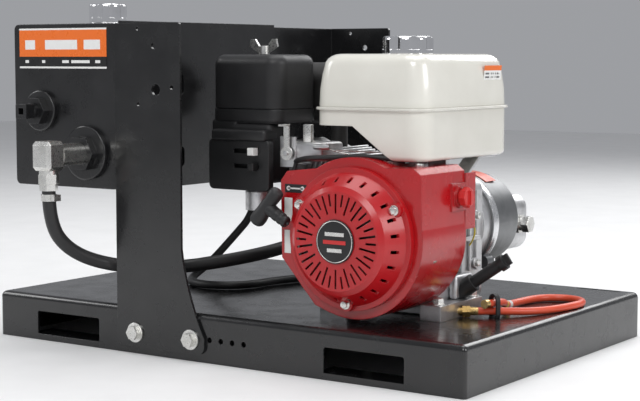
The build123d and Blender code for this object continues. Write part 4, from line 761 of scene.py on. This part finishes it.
def addStarterRope():
    run = ropeEnd - ropeStart
    clearSelection()
    bpy.ops.mesh.primitive_cylinder_add(
        radius=0.0023, depth=run.length, vertices=16, location=(ropeStart + ropeEnd) / 2,
        rotation=run.to_track_quat("Z", "Y").to_euler(),
    )
    rope = bpy.context.object
    bpy.ops.object.transform_apply(location=True, rotation=True, scale=True)
    bpy.ops.object.mode_set(mode="EDIT")
    for cut in range(1, 24):
        bpy.ops.mesh.select_all(action="SELECT")
        bpy.ops.mesh.bisect(plane_co=ropeStart + run * cut / 24, plane_no=run.normalized())
    bpy.ops.object.mode_set(mode="OBJECT")
    clearSelection()
    rope.select_set(True)
    bpy.context.view_layer.objects.active = rope
    bpy.ops.object.shade_smooth_by_angle(angle=math.radians(60))
    rope.name = "pullRope"
    rope.data.materials.append(ropeNylon)
    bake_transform(rope)
    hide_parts("starter_rope")


addStarterRope()

# ---- starter grip: a moulded crossbar with finger waists, and a ringed stem over the rope
gripShape = {
    "bar": [
        (-35, 6.5), (-33.5, 9.6), (-30, 12.2), (-22, 12.9), (-12, 11.6), (0, 11.4), (12, 10.6),
        (22, 11.4), (29, 11.2), (32.5, 9.2), (34, 5.5),
    ],
    "stem": [
        (3, 7.4), (4.2, 8.8), (8, 9.2), (9.5, 8.4), (11.5, 8.5), (13, 9.6), (17, 9.8), (18.5, 8.9),
        (20.5, 9.0), (22, 10.0), (27, 10.2), (29, 9.6), (34, 10.2), (42, 11.0),
    ],
}


def turnedAlong(name, start, along, profile, sides=32):  # rings of (distance, radius) along one direction
    clearSelection()
    aim = along.to_track_quat("Z", "Y").to_matrix()
    points, faces = [], []
    for place, radius in profile:
        for side in range(sides):
            angle = 2 * math.pi * side / sides
            points.append(
                start + aim @ Vector(
                    (radius * mm * math.cos(angle), radius * mm * math.sin(angle), place * mm)
                )
            )
    for ring in range(len(profile) - 1):
        for side in range(sides):
            after = (side + 1) % sides
            faces.append(
                (
                    ring * sides + side, ring * sides + after, (ring + 1) * sides + after,
                    (ring + 1) * sides + side,
                )
            )
    faces.append(tuple(reversed(range(sides))))
    faces.append(tuple(range((len(profile) - 1) * sides, len(profile) * sides)))
    mesh = bpy.data.meshes.new(name)
    mesh.from_pydata([tuple(p) for p in points], [], faces)
    obj = bpy.data.objects.new(name, mesh)
    bpy.context.scene.collection.objects.link(obj)
    bpy.context.view_layer.objects.active = obj
    obj.select_set(True)
    return obj


def addStarterGrip(g):
    lean = math.radians(40)
    bar = turnedAlong("gripBar", gripMid, Vector((math.sin(lean), 0, math.cos(lean))), g["bar"], 36)
    roundEdges(bar, 0.0012, 3, 24)
    finishPiece(bar, "gripBar", softBlack, "grip", 60)
    stem = turnedAlong("gripStem", ropeStart, ropeDir, g["stem"], 32)
    finishPiece(stem, "gripStem", softBlack, "grip", 50)
    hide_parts("starter_grip")


addStarterGrip(gripShape)
print("starter rope and grip made")

# ---- crankcase ribs, plugs and wiring on the engine's right side


def addCaseRibs():
    right = 74.0
    for index, back in enumerate((190, 216, 242, 268, 290)):
        rib = startBox(onEngine(right, back - 2.2, 62), onEngine(right + 5, back + 2.2, 190))
        roundEdges(rib, 0.0012, 3)
        finishPiece(rib, f"caseRib{index + 1}", castAlloy, "base")
    rail = startBox(onEngine(right, 180, 110), onEngine(right + 6, 300, 118))
    roundEdges(rail, 0.002, 3)
    finishPiece(rail, "caseRail", castAlloy, "base")
    pad = startBox(onEngine(right, 206, 24.5), onEngine(right + 14, 262, 62))
    roundEdges(pad, 0.005, 3)
    finishPiece(pad, "casePad", castAlloy, "base")
    for index, (back, height) in enumerate(((198, 152), (284, 150), (284, 74), (198, 74))):
        boss = startRod(onEngine(right + 3.5, back, height), 0.0085, 0.007, "X", 32)
        roundEdges(boss, 0.0012, 3)
        finishPiece(boss, f"caseBoss{index + 1}", castAlloy, "base")
        head = startRod(onEngine(right + 9.5, back, height), 0.0062, 0.005, "X", 6)
        roundEdges(head, 0.0007, 2)
        finishPiece(head, f"caseScrew{index + 1}", zincPlate, "base")


def addWire(name, points, radius, mat):
    curve = bpy.data.curves.new(name, "CURVE")
    curve.dimensions = "3D"
    spline = curve.splines.new("NURBS")
    spline.points.add(len(points) - 1)
    for point, place in zip(spline.points, points):
        point.co = (*place, 1)
    spline.order_u = 3
    spline.use_endpoint_u = True
    curve.bevel_depth = radius
    curve.bevel_resolution = 3
    curve.resolution_u = 8
    curve.use_fill_caps = True
    curve.materials.append(mat)
    obj = bpy.data.objects.new(name, curve)
    bpy.context.scene.collection.objects.link(obj)
    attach(obj, "base")
    return obj


yellowWireMat = paintMaterial(
    "yellowWireMat", (0.62, 0.50, 0.03), (0.75, 0.62, 0.06), (0.35, 0.45), 0.1, 400, 0.1, None, 0.0004,
)
wires = {
    "yellowWire": (
        [
            onEngine(100, 188, 196), onEngine(112, 200, 204), onEngine(108, 226, 190),
            onEngine(92, 246, 150), onEngine(96, 256, 122), onEngine(80, 262, 104),
        ],
        1.3, yellowWireMat,
    ),
    "blackLead": (
        [
            onEngine(110, 172, 200), onEngine(118, 190, 196), onEngine(104, 214, 178),
            onEngine(88, 232, 160), onEngine(80, 240, 140),
        ],
        2.2, softBlack,
    ),
    "shroudHarness": (
        [
            onEngine(-150, 110, 236), onEngine(-110, 66, 246), onEngine(-40, 62, 250),
            onEngine(30, 68, 254), onEngine(64, 92, 246),
        ],
        4.0, softBlack,
    ),
    "governorRod": (
        [
            onEngine(-176, 108, 276), onEngine(-120, 112, 258), onEngine(-30, 116, 256),
            onEngine(40, 122, 256),
        ],
        1.2, zincPlate,
    ),
    "throttleRod": (
        [onEngine(-118, 114, 270), onEngine(-92, 100, 258), onEngine(-20, 86, 252)], 1.2, zincPlate,
    ),
    "plugLead": (
        [
            onEngine(-160, 134, 196), onEngine(-158, 108, 190), onEngine(-146, 92, 206),
            onEngine(-140, 100, 240),
        ],
        3.4, softBlack,
    ),
}
for name, (points, radius, mat) in wires.items():
    addWire(name, points, radius * mm, mat)
for index, place in enumerate(
    (onEngine(104, 216, 182), onEngine(92, 232, 164), onEngine(104, 196, 200))
):
    plug = startBox(place - Vector((5, 7, 4)) * mm, place + Vector((5, 7, 4)) * mm)
    roundEdges(plug, 0.0015, 2)
    finishPiece(plug, f"wirePlug{index + 1}", softBlack, "base")
addCaseRibs()

# ---- black mouldings under the air cleaner: skirt, deep left drop and the hood behind the controls


def addCleanerSkirt():
    low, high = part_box("air_cleaner_base")
    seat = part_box("air_cleaner_cover")[0].z
    outer = startBox(
        (low.x - 2 * mm, low.y - 2 * mm, seat - 21 * mm),
        (high.x + 2 * mm, high.y + 2 * mm, seat - 1 * mm),
    )
    roundCorners(outer, 0.020, 2, 6)
    bpy.ops.object.mode_set(mode="OBJECT")
    roundEdges(outer, 0.0014, 3)
    finishPiece(outer, "cleanerSkirt", blackPlastic, "base")
    drop = startBox(
        (low.x - 1 * mm, low.y - 1 * mm, seat - 48 * mm),
        (low.x + 56 * mm, high.y - 12 * mm, seat - 18 * mm),
    )
    selectFaces(drop, lambda c, n: n.z < -0.9)
    bpy.ops.transform.resize(value=(0.72, 1, 1), center_override=(low.x, low.y, seat - 48 * mm))
    roundEdgesWhole(drop, 0.006, 4)
    finishPiece(drop, "cleanerDrop", blackPlastic, "base")
    duct = startBox(onEngine(-262, 92, 200), onEngine(-186, 150, 297))
    selectFaces(duct, lambda c, n: n.z > 0.9)
    bpy.ops.transform.resize(value=(1.06, 1.05, 1))
    roundEdgesWhole(duct, 0.010, 4)
    finishPiece(duct, "intakeHood", softBlack, "base")
    shelf = startBox(onEngine(-292, 74, 268), onEngine(-184, 112, 286))
    roundEdgesWhole(shelf, 0.005, 3)
    finishPiece(shelf, "controlHood", blackPlastic, "base")


addCleanerSkirt()

# ---- linkage castings between the air cleaner and the fuel tank


def addLinkageBlock():
    top = startBox(onEngine(-152, 104, 238), onEngine(-96, 168, 268))
    roundEdges(top, 0.006, 3)
    finishPiece(top, "governorBase", castAlloy, "base")
    arm = startBox(onEngine(-136, 110, 266), onEngine(-120, 118, 296))
    roundEdges(arm, 0.0015, 2)
    finishPiece(arm, "governorArm", zincPlate, "base")
    spring = startRod(onEngine(-92, 100, 262), 0.0045, 0.030, "X", 24)
    roundEdges(spring, 0.001, 2)
    finishPiece(spring, "governorSpring", steelBar, "base")
    post = startRod(onEngine(40, 120, 242), 0.012, 0.014, "Z", 6)
    roundEdges(post, 0.001, 2)
    finishPiece(post, "tankPost", castAlloy, "base")
    for index, (x, back) in enumerate(((-104, 118), (92, 86), (-40, 150))):
        head = startRod(onEngine(x, back, 241), 0.0066, 0.006, "Z", 6)
        roundEdges(head, 0.0007, 2)
        finishPiece(head, f"shroudScrew{index + 1}", zincPlate, "base")


addLinkageBlock()

# ---- shroud trim: labels on the left and a lower strip on the right


def addShroudTrim():
    face = 46.0
    plates = {
        "toolLabel": ((-124, 194), (-84, 207), softBlack), "ratingLabel": (
            (-125, 150), (-110, 186), whitePlastic,
        ),
        "lowerLabel": ((-125, 100), (-113, 136), whitePlastic),
    }
    for name, (low, high, mat) in plates.items():
        plate = startBox(onEngine(low[0], face - 0.6, low[1]), onEngine(high[0], face, high[1]))
        roundEdges(plate, 0.0003, 1)
        finishPiece(plate, name, mat, "base")
    wrench = startBox(onEngine(-118, face - 1.1, 199.4), onEngine(-90, face - 0.6, 201.8))
    finishPiece(wrench, "toolMark", whitePlastic, "base")
    for index, x in enumerate((-117, -91)):
        dot = startRod(onEngine(x, face - 0.85, 200.6), 0.0036, 0.0005, "Y", 20)
        finishPiece(dot, f"toolMarkEnd{index + 1}", whitePlastic, "base")
    strip = startBox(onEngine(108, 84, 62), onEngine(109, 92, 104))
    bpy.ops.object.mode_set(mode="EDIT")
    bpy.ops.mesh.select_all(action="SELECT")
    bpy.ops.transform.rotate(
        value=math.radians(-32), orient_axis="Y", center_override=onEngine(108, 88, 84),
    )
    finishPiece(strip, "sideStrip", zincPlate, "base")


addShroudTrim()
print("engine dressed")

# ---- drum: a clear band, a curved label and a grease plug on top


def addDrumTrim():
    low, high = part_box("bell_housing")
    rim = startRod(Vector((crankX, low.y + 11 * mm, crankZ)), 0.0824, 0.018, "Y", 96)
    roundEdges(rim, 0.0012, 2)
    finishPiece(rim, "bellRim", turnedAlloy, "base")
    label = startRod(Vector((crankX, low.y + 56 * mm, crankZ)), 0.0809, 0.034, "Y", 96)
    bpy.ops.object.mode_set(mode="EDIT")
    bpy.ops.mesh.select_all(action="SELECT")
    bpy.ops.mesh.bisect(
        plane_co=(crankX, 0, crankZ + 0.066), plane_no=(0, 0, 1), clear_inner=True, use_fill=True,
    )
    finishPiece(label, "drumLabel", drainRubber, "base")
    plug = startRod(Vector((crankX - 0.012, low.y + 62 * mm, crankZ + 0.0835)), 0.005, 0.007, "Z", 6)
    roundEdges(plug, 0.0006, 2)
    finishPiece(plug, "drumPlug", softBlack, "base")


addDrumTrim()

# ---- bands on the drain hose, beyond its clip


def addHoseBands():
    for name, share, mat in (("whiteBand", 0.80, whitePlastic), ("yellowBand", 0.86, yellowWireMat)):
        bare = drainHose.copy()
        bare.data = drainHose.data.copy()
        bare.data.bevel_depth = 0
        line = bpy.data.meshes.new_from_object(bare)
        start = int(share * (len(line.vertices) - 1))
        first, last = line.vertices[start].co.copy(), line.vertices[start + 2].co.copy()
        bpy.data.objects.remove(bare)
        run = last - first
        clearSelection()
        bpy.ops.mesh.primitive_cylinder_add(
            radius=0.00635, depth=0.013, vertices=40, location=(first + last) / 2,
            rotation=run.to_track_quat("Z", "Y").to_euler(),
        )
        band = bpy.context.object
        bpy.ops.object.transform_apply(location=True, rotation=True, scale=True)
        roundEdges(band, 0.0003, 1)
        finishPiece(band, name, mat, "base")


addHoseBands()
print("hose bands made")

# ---- welds: beads up the skid's near corner and along the tank's front top edge


def addWeld(name, start, end, beads, radius):
    clearSelection()
    run = (end - start) / beads
    pieces = []
    for index in range(beads + 1):
        bpy.ops.mesh.primitive_uv_sphere_add(
            segments=12, ring_count=8, radius=radius * (1.0 + 0.12 * math.sin(index * 2.7)),
            location=start + run * index,
        )
        pieces.append(bpy.context.object)
    clearSelection()
    for piece in pieces:
        piece.select_set(True)
    bpy.context.view_layer.objects.active = pieces[0]
    bpy.ops.object.join()
    weld = bpy.context.object
    finishPiece(weld, name, skidPaint, "base", 80)


corner = 4.2 * mm
addWeld(
    "cornerWeld", Vector((skidHigh.x - corner, wallY + corner, 0.006)),
    Vector((skidHigh.x - corner, wallY + corner, 0.064)), 20, 0.0028,
)
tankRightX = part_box("tank_shell")[1].x
addWeld(
    "tankSeamWeld",
    Vector((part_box("tank_shell")[0].x + 0.012, wallY + 2.2 * mm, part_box("tank_shell")[1].z - 0.001)),
    Vector((tankRightX - 0.012, wallY + 2.2 * mm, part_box("tank_shell")[1].z - 0.001)), 60, 0.0016,
)
print("welds laid")
